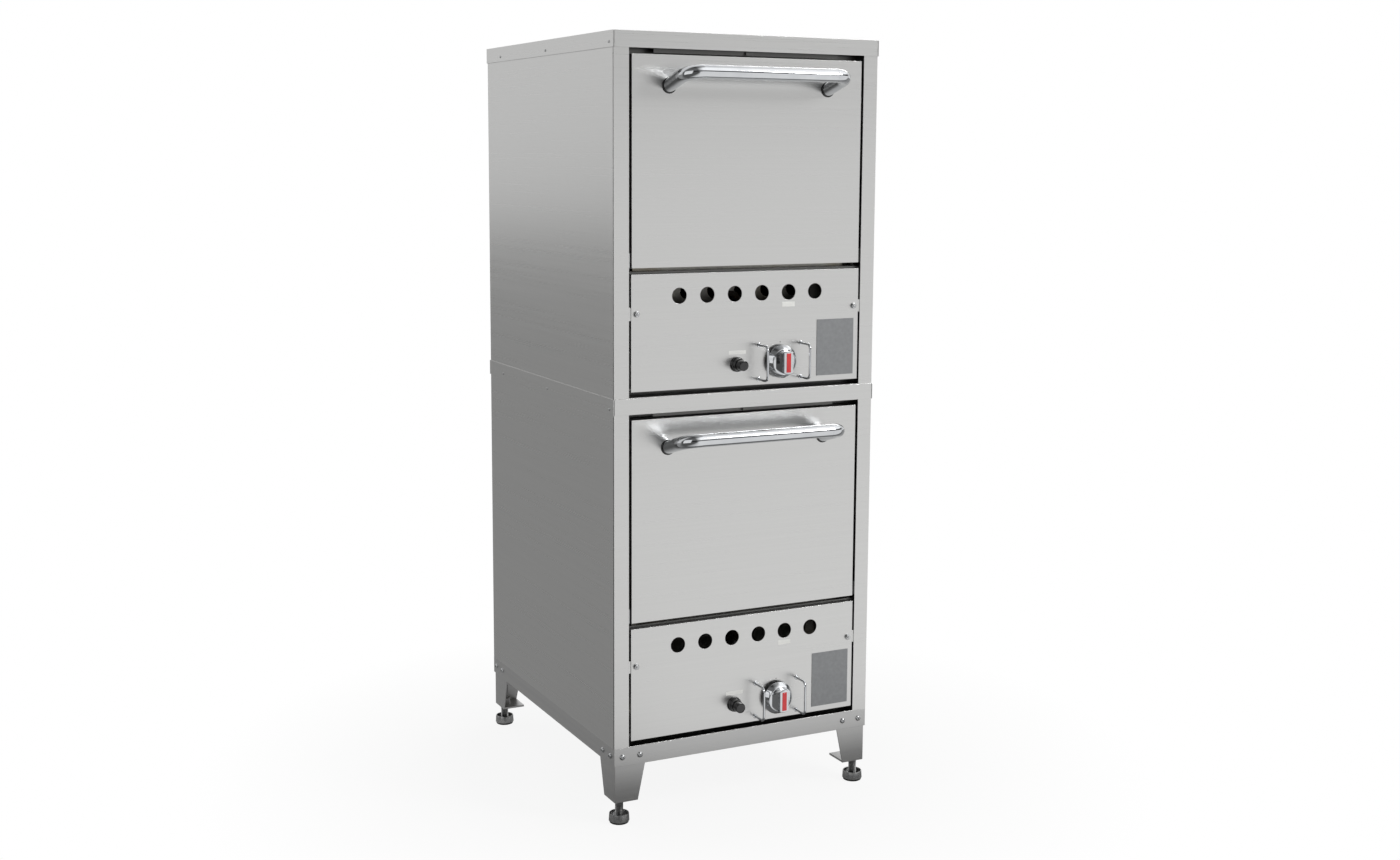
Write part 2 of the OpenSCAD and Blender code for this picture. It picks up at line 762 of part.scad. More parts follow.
// A stud with its head behind the tab and a washer and hex nut in front of the panel
module panel_fixing() {
    color(stainless) on_front(fixing_x, fixing_z) {
        translate([0, 0, -2 * sheet - 3]) cylinder(d = 2 * fixing_d, h = 3);
        translate([0, 0, -2 * sheet - 1]) cylinder(d = fixing_d, h = 2 * sheet + 11);
        cylinder(d = 15, h = 1.2);
        translate([0, 0, 1]) hex(11, 5);
    }
}

module knob_guard() {
    r = guard_bend;
    leg_z = guard_h / 2;
    color(chrome) {
        for (end = [-1, 1]) {
            translate([0, end * leg_z, -8]) cylinder(d = guard_wire_d, h = guard_reach - r + 8);
            translate([0, end * leg_z, 0]) cylinder(d = guard_wire_d + 5, h = 1.5);
            translate([0, end * leg_z, -sheet - 4]) hex(guard_wire_d + 5, 4);
        }
        translate([0, leg_z - r, guard_reach - r]) rotate([0, -90, 0]) quarter_bend(r, guard_wire_d);
        mirror([0, 1, 0])
            translate([0, leg_z - r, guard_reach - r]) rotate([0, -90, 0]) quarter_bend(r, guard_wire_d);
        translate([0, r - leg_z, guard_reach]) rotate([-90, 0, 0])
            cylinder(d = guard_wire_d, h = guard_h - 2 * r);
    }
}

barrel_d = 20;
collar_h = 18;
button_bore_h = 12.5;

module igniter_body() {
    nut_flats = 27;
    nut_h = 7;
    ring_h = 8;
    barrel_l = 42;
    pin_d = 3;
    pin_l = 8;
    color(black_plastic) on_front(igniter_x, igniter_z) difference() {
        union() {
            cylinder(d1 = igniter_d, d2 = igniter_d - 2, h = ring_h);
            cylinder(d1 = button_d + 6, d2 = button_d + 4, h = collar_h);
            translate([0, 0, -barrel_l]) cylinder(d = barrel_d, h = barrel_l + 2);
            translate([0, 0, -sheet - nut_h]) hex(nut_flats, nut_h);
            for (x = [-4, 4]) translate([x, 0, -barrel_l - pin_l]) cylinder(d = pin_d, h = pin_l + 2);
        }
        translate([0, 0, collar_h - button_bore_h])
            cylinder(d = button_d + 4 * run_fit, h = button_bore_h + 1.5);
    }
}

module igniter_button() {
    back_z = collar_h - button_bore_h + button_travel + 0.5;
    color(black_plastic) on_front(igniter_x, igniter_z) {
        translate([0, 0, back_z]) cylinder(d = button_d, h = button_reach - 2 - back_z);
        translate([0, 0, button_reach - 2]) cylinder(d1 = button_d, d2 = button_d - 4, h = 2);
    }
}

module door_shell() {
    color(stainless) difference() {
        block(-door_hw, door_hw, 0, shell_depth, door_z0, door_z1);
        block(sheet - door_hw, door_hw - sheet, sheet, shell_depth + eps, door_z0 + sheet, door_z1 - sheet);
        both_sides() {
            bar_x(hinge_y, hinge_z, hinge_pin_d + 2, arm_x1, door_hw + eps);
            block(arm_x0 - 1, arm_x1 + 1, hinge_y - 8, shell_depth + eps, door_z0 - eps, door_z0 + sheet + eps);
            handle_stud(2 * hole_fit);
        }
    }
}

module door_liner() {
    inner_hw = shell_inner_x - sheet;
    return_y = door_t - 16;
    color(aluminised) difference() {
        block(-shell_inner_x, shell_inner_x, return_y, door_t, door_z0 + sheet, door_z1 - sheet);
        block(-inner_hw, inner_hw, return_y - eps, door_t - sheet, door_z0 + 2 * sheet, door_z1 - 2 * sheet);
        both_sides() {
            bar_x(hinge_y, hinge_z, hinge_pin_d + 2, arm_x1 - eps, door_hw);
            block(arm_x0 - 1, arm_x1 + eps, return_y - eps, door_t - sheet, door_z0, door_z0 + 2 * sheet + eps);
        }
    }
}

module door_insulation() {
    hw = arm_x0 - 1;
    color(wool) difference() {
        block(-hw, hw, sheet, door_t - sheet, door_z0 + 2 * sheet + eps, door_z1 - 2 * sheet - eps);
        both_sides() bar_y(handle_x(), handle_z(), 20, 0, 20);
    }
}

function handle_x() = handle_span / 2;
function handle_z() = door_z1 - handle_drop;

// The threaded stud in a handle leg's end, grown by a clearance for its hole
module handle_stud(grow) {
    bar_y(handle_x(), handle_z(), 8 + grow, -12, 14);
}

// The handle's tubes and elbows, legs along -Y in their own sloping frame, shrunk by a wall
module handle_path(wall, leg_end) {
    elbow_d = handle_d - 2 * wall;
    tube_d = elbow_d - elbow_step;
    reach = handle_reach / cos(handle_tilt);
    bar_l = handle_span - 2 * handle_bend;
    translate([0, 0, handle_z()]) rotate([-handle_tilt, 0, 0]) union() {
        for (side = [-1, 1]) {
            bar_y(side * handle_x(), 0, tube_d, handle_bend - reach, leg_end);
            translate([side * bar_l / 2, handle_bend - reach, 0]) rotate([0, 0, side > 0 ? -90 : 180])
                quarter_bend(handle_bend, elbow_d);
        }
        bar_x(-reach, 0, tube_d, -bar_l / 2, bar_l / 2);
    }
}

module door_handle() {
    plug_l = 18;
    past = 20;
    color(chrome) {
        difference() {
            handle_path(0, past);
            handle_path(handle_wall, -plug_l);
            block(-body_hw, body_hw, 0, 2 * past, handle_z() - 60, handle_z() + 60);
        }
        both_sides() {
            handle_stud(0);
            translate([handle_x(), sheet, handle_z()]) rotate([-90, 0, 0]) hex(13, 6.5);
            difference() {
                bar_y(handle_x(), handle_z(), handle_d + 5, -ferrule_l, 0);
                handle_path(-seat_gap, past);
            }
        }
    }
}

// Side view of a hinge arm: plate inside the door, hub and sloping arm
module arm_outline() {
    plate_y0 = hinge_y - 9;
    plate_y1 = hinge_y + 12;
    plate_h = 58;
    side_y = arm_end_d / 2 * sin(arm_angle);
    side_z = arm_end_d / 2 * cos(arm_angle);
    translate([hinge_y, hinge_z]) circle(d = arm_hub_d);
    translate([plate_y0, hinge_z]) square([plate_y1 - plate_y0, plate_h]);
    translate([arm_pin_y, arm_pin_z]) circle(d = arm_end_d);
    polygon([
        [hinge_y - side_y, hinge_z - side_z], [arm_pin_y - side_y, arm_pin_z - side_z],
        [arm_pin_y + side_y, arm_pin_z + side_z], [hinge_y + side_y, hinge_z + side_z]
    ]);
}

module hinge_arm() {
    color(aluminised) {
        translate([arm_x0, 0, 0]) rotate([90, 0, 90]) linear_extrude(arm_t) arm_outline();
        bar_x(hinge_y, hinge_z, hinge_pin_d, arm_x0 + 1, opening_hw - seat_gap);
        bar_x(arm_pin_y, arm_pin_z, spring_pin_d, arm_x0 - spring_pin_l, arm_x0 + 1);
    }
}

module hinge_bracket() {
    bracket_t = 5;
    bracket_front = 11;
    bracket_back = 15;
    bracket_top = 20;
    color(aluminised) difference() {
        block(opening_hw - bracket_t, opening_hw, hinge_y - bracket_front, hinge_y + bracket_back,
              hinge_z - hinge_up, hinge_z + bracket_top);
        bar_x(hinge_y, hinge_z, hinge_pin_d + 2 * run_fit, opening_hw - bracket_t - eps, opening_hw + eps);
    }
}

// Path of a spring from the arm's pin to the anchor's pin, along +Z, with an eye at each end
eye_r = spring_pin_d / 2 + seat_gap + spring_wire_d / 2;
eye_sweep = 250;
eye_steps = 8;
turn_steps = 8;
wire_sides = 5;
spring_l = norm([anchor_y - arm_pin_y, anchor_z - arm_pin_z]);
coil_r = (spring_d - spring_wire_d) / 2;
coil_steps = turn_steps * spring_turns + turn_steps / 2;

function coil_radius(i) = coil_r * min(1, i / turn_steps, (coil_steps - i) / turn_steps);
function coil_angle(i) = 90 + i * 360 / turn_steps;
function coil_height(i) = eye_r + i * (spring_l - 2 * eye_r) / coil_steps;

function spring_path() = concat(
    [for (i = [0 : eye_steps - 1]) let (a = eye_sweep * (i / eye_steps - 1))
        [0, eye_r * sin(a), eye_r * cos(a)]],
    [for (i = [0 : coil_steps])
        [coil_radius(i) * cos(coil_angle(i)), coil_radius(i) * sin(coil_angle(i)), coil_height(i)]],
    [for (i = [1 : eye_steps]) let (a = eye_sweep * i / eye_steps)
        [0, eye_r * sin(a), spring_l - eye_r * cos(a)]]
);

function unit(v) = v / norm(v);
function across(v, t) = unit(v - (v * t) * t);

// Directions of a path and the side vectors carried along it without twist
function path_tangents(p) = [for (i = [0 : len(p) - 1]) unit(p[min(i + 1, len(p) - 1)] - p[max(i - 1, 0)])];
function path_normals(t) = [for (i = 0, n = [1, 0, 0]; i < len(t);
    i = i + 1, n = i < len(t) ? across(n, t[i]) : n) n];

module wire_along(p, r, sides) {
    t = path_tangents(p);
    n = path_normals(t);
    rings = [for (i = [0 : len(p) - 1], k = [0 : sides - 1]) let (a = k * 360 / sides)
        p[i] + r * (cos(a) * n[i] + sin(a) * cross(t[i], n[i]))];
    walls = [for (i = [0 : len(p) - 2], k = [0 : sides - 1]) let (j = (k + 1) % sides)
        [i * sides + k, (i + 1) * sides + k, (i + 1) * sides + j, i * sides + j]];
    first = [for (k = [0 : sides - 1]) k];
    last = [for (k = [sides - 1 : -1 : 0]) (len(p) - 1) * sides + k];
    polyhedron(points = rings, faces = concat(walls, [first], [last]));
}

module door_spring() {
    lean = atan2(arm_pin_y - anchor_y, anchor_z - arm_pin_z);
    color(chrome) translate([spring_x, arm_pin_y, arm_pin_z]) rotate([lean, 0, 0])
        wire_along(spring_path(), spring_wire_d / 2, wire_sides);
}

module door_seal() {
    color("#55524c") difference() {
        block(-seal_hw - seal_w, seal_hw + seal_w, door_t + seat_gap, frame_depth, seal_z0, seal_z1 + seal_w);
        block(-seal_hw, seal_hw, door_t, frame_depth + eps, mouth_z0, seal_z1);
    }
}

module flue_duct() {
    hw = flue_w / 2;
    hh = flue_h / 2;
    y0 = chamber_y1 + chamber_wall;
    rim = 22;
    color(aluminised) difference() {
        union() {
            block(-hw, hw, y0, body_d + rear_reach, flue_z - hh, flue_z + hh);
            block(-hw - rim, hw + rim, body_d, body_d + sheet, flue_z - hh - rim, flue_z + hh + rim);
        }
        block(sheet - hw, hw - sheet, y0 - eps, body_d + rear_reach + eps, flue_z - hh + sheet, flue_z + hh - sheet);
    }
}

// Slabs of mineral wool round one oven chamber
module insulation_slabs() {
    y1 = body_d - 2 * sheet;
    back_y = chamber_y1 + chamber_wall;
    burner_y0 = bulkhead_y + chamber_wall;
    hw = body_hw - sheet;
    duct_hw = flue_w / 2 + eps;
    duct_hh = flue_h / 2 + eps;
    color(wool) {
        block(-hw, hw, chamber_y0, y1, chamber_top_z, -2 * sheet);
        both_sides() {
            block(chamber_out_x, hw, chamber_y0, back_y - hair, pocket_z1, chamber_top_z - hair);
            block(chamber_out_x, hw, burner_y0, back_y - hair, box_z0, pocket_z1);
        }
        difference() {
            block(-hw, hw, back_y, y1, box_z0, chamber_top_z - hair);
            block(-duct_hw, duct_hw, back_y - eps, y1 + eps, flue_z - duct_hh, flue_z + duct_hh);
        }
        difference() {
            block(-hw, hw, burner_y0, y1, pan_z, box_z0 - hair);
            bar_y(inlet_x, knob_z, supply_d + 1, burner_y0 - eps, y1 + eps);
        }
    }
}

module cap_screw_set() {
    head_h = 1.6;
    x1 = body_hw + cap_overhang;
    color(stainless) both_sides() for (y = cap_screw_rows()) {
        bar_x(y, cap_screw_z(), cap_screw_d, body_hw - sheet, x1 + head_h / 2);
        bar_x(y, cap_screw_z(), cap_screw_head_d, x1, x1 + head_h);
    }
}

module base_frame() {
    flange = 40;
    z0 = stand_h - band_h;
    color("#b9b9b9") translate([0, front_y, 0]) difference() {
        block(-body_hw, body_hw, 0, body_d, z0, stand_h);
        block(leg_sheet - body_hw, body_hw - leg_sheet, leg_sheet, body_d - leg_sheet, z0 - eps, stand_h - leg_sheet);
        block(flange - body_hw, body_hw - flange, flange, body_d - flange, z0, stand_h + eps);
        leg_bolt_places() translate([0, 0, -2 * leg_sheet]) cylinder(d = bolt_d + 2 * hole_fit, h = 3 * leg_sheet);
    }
}

// Repeats its children at the stand's four corners, which are mirror images
module stand_corners() {
    both_sides() for (end = [0, 1])
        translate([0, end * body_d, 0]) mirror([0, end, 0]) children();
}

// Repeats its children at the leg bolts, with +Z out of the band
module leg_bolt_places() {
    stand_corners() for (i = [0, 1]) {
        edge = bolt_edge + i * bolt_pitch;
        translate([body_hw - edge, 0, bolt_z]) rotate([90, 0, 0]) children();
        translate([body_hw, edge + 2, bolt_z]) rotate([0, 90, 0]) children();
    }
}

// One folded leg with its foot plate and weld nut
module corner_leg() {
    top = stand_h - leg_sheet;
    knee = stand_h - band_h;
    front = [
        [leg_x, top], [leg_x - leg_w_top, top], [leg_x - leg_w_top, knee],
        [leg_x - leg_w_bottom, leg_up], [leg_x, leg_up]
    ];
    side = [
        [leg_sheet, top], [leg_sheet + leg_d_top, top], [leg_sheet + leg_d_top, knee],
        [leg_sheet + leg_d_bottom, leg_up], [leg_sheet, leg_up]
    ];
    difference() {
        union() {
            translate([0, 2 * leg_sheet, 0]) rotate([90, 0, 0]) linear_extrude(leg_sheet) polygon(front);
            translate([leg_x - leg_sheet, 0, 0]) rotate([90, 0, 90]) linear_extrude(leg_sheet) polygon(side);
            block(leg_x - leg_w_bottom, leg_x, leg_sheet, leg_sheet + leg_d_bottom, leg_up, leg_up + foot_plate_t);
            translate([body_hw - foot_inset, foot_inset, leg_up]) hex(stud_d + 10, foot_plate_t + 14);
        }
        bar_z(body_hw - foot_inset, foot_inset, stud_d + 2 * run_fit, leg_up - eps, leg_up + foot_plate_t + 15);
    }
}

module corner_legs() {
    color("#8e8e8e") translate([0, front_y, 0]) difference() {
        stand_corners() corner_leg();
        leg_bolt_places() translate([0, 0, -3 * leg_sheet]) cylinder(d = bolt_d + 2 * hole_fit, h = 3 * leg_sheet);
    }
}

// A dome-headed bolt through the band and the leg, with its nut
module leg_bolt() {
    head_h = 4.5;
    dome_r = (pow(bolt_head_d / 2, 2) + head_h * head_h) / (2 * head_h);
    grip = 2 * leg_sheet;
    intersection() {
        translate([0, 0, head_h - dome_r]) sphere(r = dome_r);
        cylinder(d = bolt_head_d + 1, h = head_h + 1);
    }
    translate([0, 0, -grip - 8]) cylinder(d = bolt_d, h = grip + 9);
    translate([0, 0, -grip - 6]) hex(1.6 * bolt_d, 6);
}

module leg_bolts() {
    color("#c4c4c4") translate([0, front_y, 0]) leg_bolt_places() leg_bolt();
}

// A levelling foot: side is -1 or 1, end is 0 at the front and 1 at the rear
module foot(side, end) {
    pad_h = 5;
    cup_h = 24;
    cup_floor = pad_h + 4;
    stud_top = leg_up + 55;
    r = foot_d / 2;
    x = side * (body_hw - foot_inset);
    y = front_y + (end == 0 ? foot_inset : body_d - foot_inset);
    translate([x, y, 0]) {
        color("#1b1b1b") cylinder(d = foot_d - 4, h = pad_h - hair);
        color(stainless) {
            rotate_extrude() polygon([
                [0, pad_h], [r, pad_h], [r - 1.5, cup_h], [r - 3.5, cup_h], [r - 3, cup_floor], [0, cup_floor]
            ]);
            translate([0, 0, cup_floor + hair]) cylinder(d = stud_d, h = stud_top - cup_floor - 1.5 - hair);
            translate([0, 0, stud_top - 1.5]) cylinder(d1 = stud_d, d2 = stud_d - 3, h = 1.5);
        }
    }
}

module left_side() {
    mirror([1, 0, 0]) side_panel();
}

base_frame();
corner_legs();
leg_bolts();
foot(-1, 0);  // front_left_foot
foot(1, 0);  // front_right_foot
foot(-1, 1);  // rear_left_foot
foot(1, 1);  // rear_right_foot
deck(1) left_side();  // upper_left_side
deck(1) side_panel();  // upper_right_side
deck(1) rear_panel();  // upper_rear_panel
deck(1) top_cap();  // upper_top_cap
deck(1) face_frame();  // upper_face_frame
deck(1) chamber();  // upper_chamber
deck(1) baking_stone();  // upper_baking_stone
deck(1) burner();  // upper_burner
deck(1) gas_pipes();  // upper_gas_pipes
deck(1) thermostat();  // upper_thermostat
deck(1) control_panel();  // upper_control_panel
deck(1) knob_shaft();  // upper_knob_shaft
deck(1) knob();  // upper_knob
deck(1) igniter_button();  // upper_igniter_button
deck(1) door_shell();  // upper_door_shell
deck(1) door_liner();  // upper_door_liner
deck(1) door_insulation();  // upper_door_insulation
deck(1) door_handle();  // upper_door_handle
deck(1) both_sides() hinge_arm();  // upper_hinge_arms
deck(1) both_sides() door_spring();  // upper_door_springs
deck(0) left_side();  // lower_left_side
deck(0) side_panel();  // lower_right_side
deck(0) rear_panel();  // lower_rear_panel
deck(0) top_cap();  // lower_top_cap
deck(0) face_frame();  // lower_face_frame
deck(0) chamber();  // lower_chamber
deck(0) baking_stone();  // lower_baking_stone
deck(0) burner();  // lower_burner
deck(0) gas_pipes();  // lower_gas_pipes
deck(0) thermostat();  // lower_thermostat
deck(0) control_panel();  // lower_control_panel
deck(0) knob_shaft();  // lower_knob_shaft
deck(0) knob();  // lower_knob
deck(0) igniter_button();  // lower_igniter_button
deck(0) door_shell();  // lower_door_shell
deck(0) door_liner();  // lower_door_liner
deck(0) door_insulation();  // lower_door_insulation
deck(0) door_handle();  // lower_door_handle
deck(0) both_sides() hinge_arm();  // lower_hinge_arms
deck(0) both_sides() door_spring();  // lower_door_springs
both_decks() floor_pan();  // floor_pans
both_decks() burner_box();  // burner_boxes
both_decks() insulation_slabs();  // body_insulation
both_decks() flame_baffle();  // flame_baffles
both_decks() pilot_burner();  // pilot_burners
both_decks() igniter_body();  // igniter_bodies
both_decks() door_seal();  // door_seals
both_decks() both_sides() hinge_bracket();  // hinge_brackets
both_decks() cap_screw_set();  // cap_screws
both_decks() both_sides() panel_fixing();  // panel_fixings
both_decks() instruction_plate();  // instruction_plates
both_decks() for (side = [-1, 1])  // knob_guards
    on_front(knob_x + side * guard_span / 2, knob_z) knob_guard();
both_decks() flue_duct();  // flue_ducts
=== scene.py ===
# %% [markdown]
# # A two-deck gas oven in brushed steel
# The imported model holds every piece at its real size and place, in metres, with the floor at z = 0 and
# the front facing -Y. This script dresses it: it gives each piece its real finish, rounds the edges that
# a press brake leaves, and remakes the small parts whose form is too fine for the solids, such as
# threads, the steps at the welded elbows of the handles and the coils of a spring.

# %% Load the imported model
import json
import math

import bmesh
import bpy
from mathutils import Matrix, Vector


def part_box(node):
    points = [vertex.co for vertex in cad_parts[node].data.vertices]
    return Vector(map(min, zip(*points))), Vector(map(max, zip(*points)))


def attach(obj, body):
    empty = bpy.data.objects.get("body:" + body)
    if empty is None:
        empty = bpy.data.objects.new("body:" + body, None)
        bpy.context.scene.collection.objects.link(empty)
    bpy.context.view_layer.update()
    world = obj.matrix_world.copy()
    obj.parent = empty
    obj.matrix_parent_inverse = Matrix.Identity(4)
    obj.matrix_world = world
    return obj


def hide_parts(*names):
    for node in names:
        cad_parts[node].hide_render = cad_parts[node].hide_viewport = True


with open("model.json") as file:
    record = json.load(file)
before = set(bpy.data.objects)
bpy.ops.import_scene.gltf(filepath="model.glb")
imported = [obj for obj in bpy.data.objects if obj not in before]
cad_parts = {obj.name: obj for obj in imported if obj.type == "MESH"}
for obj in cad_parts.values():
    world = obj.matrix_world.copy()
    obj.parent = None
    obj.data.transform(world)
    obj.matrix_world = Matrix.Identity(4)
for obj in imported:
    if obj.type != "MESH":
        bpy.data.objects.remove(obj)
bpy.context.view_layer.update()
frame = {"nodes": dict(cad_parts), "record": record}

cad_nodes = frame["nodes"]
body_of_node = {
    node: body for body, nodes in frame["record"]["behaviour"]["bodies"].items() for node in nodes
}
DECKS = ("upper", "lower")
MM = 0.001
front_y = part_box("upper_control_panel")[0].y
deck_top = {deck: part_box(deck + "_top_cap")[1].z for deck in DECKS}
print("nodes:", len(cad_nodes), "front:", round(front_y, 4), "deck tops:", deck_top)

# %% [markdown]
# ## Camera
# The photograph was taken from the front left, a little above the middle, with the camera held
# nearly level. The place, heading and focal length below come from fitting the cabinet's corners
# to the picture. A small upward slide of the frame keeps the uprights close to parallel, as a
# product photographer does with a shift lens.

# %% Camera
YAW, PITCH, ROLL = math.radians(26.66), math.radians(7.61), math.radians(0.33)
FOCAL_PIXELS = 1691.1
IMAGE_W, IMAGE_H = 1400, 860
OPTICAL_ROW = 381
CAMERA_PLACE = (-1.9068, -3.9286, 1.5916)

forward = Vector((
    math.sin(YAW) * math.cos(PITCH), math.cos(YAW) * math.cos(PITCH), -math.sin(PITCH)
))
level_right = Vector((math.cos(YAW), -math.sin(YAW), 0))
level_up = level_right.cross(forward)
right = level_right * math.cos(ROLL) + level_up * math.sin(ROLL)
up = level_up * math.cos(ROLL) - level_right * math.sin(ROLL)

camera_data = bpy.data.cameras.new("photo_camera")
camera_data.sensor_width = 36
camera_data.lens = FOCAL_PIXELS / IMAGE_W * camera_data.sensor_width
camera_data.shift_y = (OPTICAL_ROW - IMAGE_H / 2) / IMAGE_W
camera = bpy.data.objects.new("photo_camera", camera_data)
camera.matrix_world = Matrix.Translation(CAMERA_PLACE) @ Matrix(
    (right, up, -forward)
).transposed().to_4x4()
bpy.context.scene.collection.objects.link(camera)
bpy.context.scene.camera = camera
print("lens:", round(camera_data.lens, 1), "mm")

# %% [markdown]
# ## Floor, backdrop and light
# A product picture on white has a pale sweep under and behind the object and large soft lamps.
# The floor is one flat sheet that turns almost white for the camera but keeps the soft shadow
# under the feet. Metal has hardly a look of its own: it shows what stands round it, so the
# world and the floor are built as a studio.

# %% Small helpers for nodes and colours
def linear(hex_colour):
    """A colour written as sRGB hex, turned to the linear values that the shaders use."""
    channels = [int(hex_colour[i:i + 2], 16) / 255 for i in (1, 3, 5)]
    values = [c / 12.92 if c <= 0.04045 else ((c + 0.055) / 1.055) ** 2.4 for c in channels]
    return (*values, 1)


# A Mix node lists a pair of inputs for each kind of value, after its factor at 0.
FLOAT_A, FLOAT_B, VECTOR_A, VECTOR_B, COLOUR_A, COLOUR_B = 2, 3, 4, 5, 6, 7
VECTOR_OUT, COLOUR_OUT = 1, 2


def add(tree, kind, settings=None, links=None):
    """Adds one node, sets its properties, ramp stops or sockets, and links other nodes to it."""
    made = tree.nodes.new("ShaderNode" + kind)
    for key, value in (settings or {}).items():
        if key == "stops":
            elements = made.color_ramp.elements
            elements.remove(elements[0])
            elements[0].position, elements[0].color = value[0]
            for position, colour in value[1:]:
                elements.new(position).color = colour
        elif isinstance(key, str) and hasattr(made, key):
            setattr(made, key, value)
        else:
            made.inputs[key].default_value = value
    for key, source in (links or {}).items():
        socket = source if isinstance(source, bpy.types.NodeSocket) else source.outputs[0]
        tree.links.new(socket, made.inputs[key])
    return made


def grey(value):
    return (value, value, value, 1)


# %% [markdown]
# ### The studio that the metal sees
# Behind the oven hangs the white backdrop, which the camera and the metal both see. Behind the
# camera the room has a soft box overhead and a pale wall at eye level, with a dark strip between
# them. Polished tube needs that strip: it is the dark line along it. The room is dimmer on the
# left, which is why the oven's side is darker than its front. ROOM_BANDS gives the brightness at
# each height, from straight down at 0 to straight up at 1.

# %% World
ROOM_BANDS = [(0.0, 0.2), (0.40, 1.25), (0.49, 1.25), (0.53, 0.95), (0.555, 0.08),
              (0.65, 0.08), (0.68, 1.6), (0.92, 1.6), (0.96, 0.5), (1.0, 0.5)]
world = bpy.data.worlds.new("studio")
world.use_nodes = True
bpy.context.scene.world = world
tree = world.node_tree
tree.nodes.clear()
axes = add(tree, "SeparateXYZ", links={"Vector": add(tree, "TexCoord").outputs["Generated"]})
height_of_ray = add(tree, "MapRange", {"From Min": -1, "From Max": 1}, {"Value": axes.outputs["Z"]})
room = add(tree, "ValToRGB", {"stops": [(height, grey(level)) for height, level in ROOM_BANDS]},
           {"Fac": height_of_ray})
side_of_ray = add(tree, "MapRange", {"From Min": -0.2, "From Max": 0.25, "To Min": 0.12, "To Max": 1.0},
                  {"Value": axes.outputs["X"]})
front_light = add(tree, "Background", links={"Color": room, "Strength": side_of_ray})
backdrop = add(tree, "Background", {"Color": grey(1), "Strength": 1.0})
behind = add(tree, "MapRange", {"From Min": 0.0, "From Max": 0.2, "To Max": 0.88},
             {"Value": axes.outputs["Y"]})
studio = add(tree, "MixShader", links={0: behind, 1: front_light, 2: backdrop})
ray = add(tree, "LightPath")
seen = add(tree, "Math", {"operation": "MAXIMUM"},
           {0: ray.outputs["Is Camera Ray"], 1: ray.outputs["Is Transmission Ray"]})
choice = add(tree, "MixShader", links={0: seen, 1: studio, 2: backdrop})
add(tree, "OutputWorld", links={"Surface": choice})

# %% [markdown]
# ### The floor
# The floor is a sheet of pale paper. To the camera it fades to plain white away from the oven
# and keeps the soft shadow near the feet. Metal sees it white in front of the oven on the right,
# where the light stands. The rest is in the dim part of the room, dimmest in front on the left,
# which is what darkens the lower half of the oven's left side and the legs of the handles.

# %% Floor
FLOOR_SIZE = 30


def stage_floor():
    material = bpy.data.materials.new("pale_studio_floor")
    material.use_nodes = True
    tree = material.node_tree
    tree.nodes.clear()
    place = add(tree, "TexCoord")
    along = add(tree, "SeparateXYZ", links={"Vector": place.outputs["Object"]})
    far = add(tree, "VectorMath", {"operation": "LENGTH"}, {0: place.outputs["Object"]})
    fade = add(tree, "MapRange", {"From Min": 0.55, "From Max": 1.25, "To Min": 0.9, "To Max": 1.0},
               {"Value": far.outputs["Value"]})
    in_front = add(tree, "MapRange", {"From Min": -0.55, "From Max": -0.8},
                   {"Value": along.outputs["Y"]})
    on_right = add(tree, "MapRange", {"From Min": -0.9, "From Max": 0.0},
                   {"Value": along.outputs["X"]})
    lit = add(tree, "Math", {"operation": "MULTIPLY"}, {0: in_front, 1: on_right})
    dim = add(tree, "MapRange", {"From Min": -0.6, "From Max": 0.0, "To Min": 0.06, "To Max": 0.36},
              {"Value": along.outputs["Y"]})
    bright = add(tree, "Math", {"operation": "MULTIPLY", 1: 1.15}, {0: lit})
    strength = add(tree, "Math", {"operation": "MAXIMUM"}, {0: dim, 1: bright})
    ray = add(tree, "LightPath")
    seen = add(tree, "Math", {"operation": "MAXIMUM"},
               {0: ray.outputs["Is Camera Ray"], 1: ray.outputs["Is Transmission Ray"]})
    to_camera = add(tree, "Math", {"operation": "MULTIPLY"}, {0: seen, 1: fade})
    to_metal = add(tree, "Math", {"operation": "MULTIPLY", 1: 0.85}, {0: ray.outputs["Is Glossy Ray"]})
    weight = add(tree, "Math", {"operation": "ADD"}, {0: to_camera, 1: to_metal})
    level = add(tree, "Mix", {FLOAT_B: 1.0}, {0: seen, FLOAT_A: strength})
    paper = add(tree, "BsdfDiffuse", {"Color": linear("#bdbdbb")})
    glow = add(tree, "Emission", {"Color": grey(1)}, {"Strength": level})
    shade = add(tree, "MixShader", links={0: weight, 1: paper, 2: glow})
    add(tree, "OutputMaterial", links={"Surface": shade})
    sheet = bmesh.new()
    bmesh.ops.create_grid(sheet, x_segments=1, y_segments=1, size=FLOOR_SIZE)
    mesh = bpy.data.meshes.new("studio_floor")
    sheet.to_mesh(mesh)
    sheet.free()
    mesh.materials.append(material)
    floor = bpy.data.objects.new("studio_floor", mesh)
    bpy.context.scene.collection.objects.link(floor)


stage_floor()

# %% [markdown]
# ### Lamps
# Two square soft boxes light the oven. The strong one stands on the right and the weak one, which
# is larger and so softer, fills the shadows on the left.

# %% Lamps
def soft_lamp(name, place, aim, size, watts):
    """A square soft box that points from its place to the point that it lights."""
    data = bpy.data.lights.new(name, "AREA")
    data.shape = "SQUARE"
    data.size = size
    data.energy = watts
    lamp = bpy.data.objects.new(name, data)
    lamp.location = place
    lamp.rotation_euler = (Vector(aim) - Vector(place)).to_track_quat("-Z", "Y").to_euler()
    bpy.context.scene.collection.objects.link(lamp)


soft_lamp("key_lamp", (2.6, -3.4, 3.4), (0, -0.4, 1.2), 1.2, 90)
soft_lamp("fill_lamp", (-3.4, -2.2, 1.8), (-0.2, 0, 1.0), 3.0, 30)
bpy.context.scene.view_settings.view_transform = "Standard"

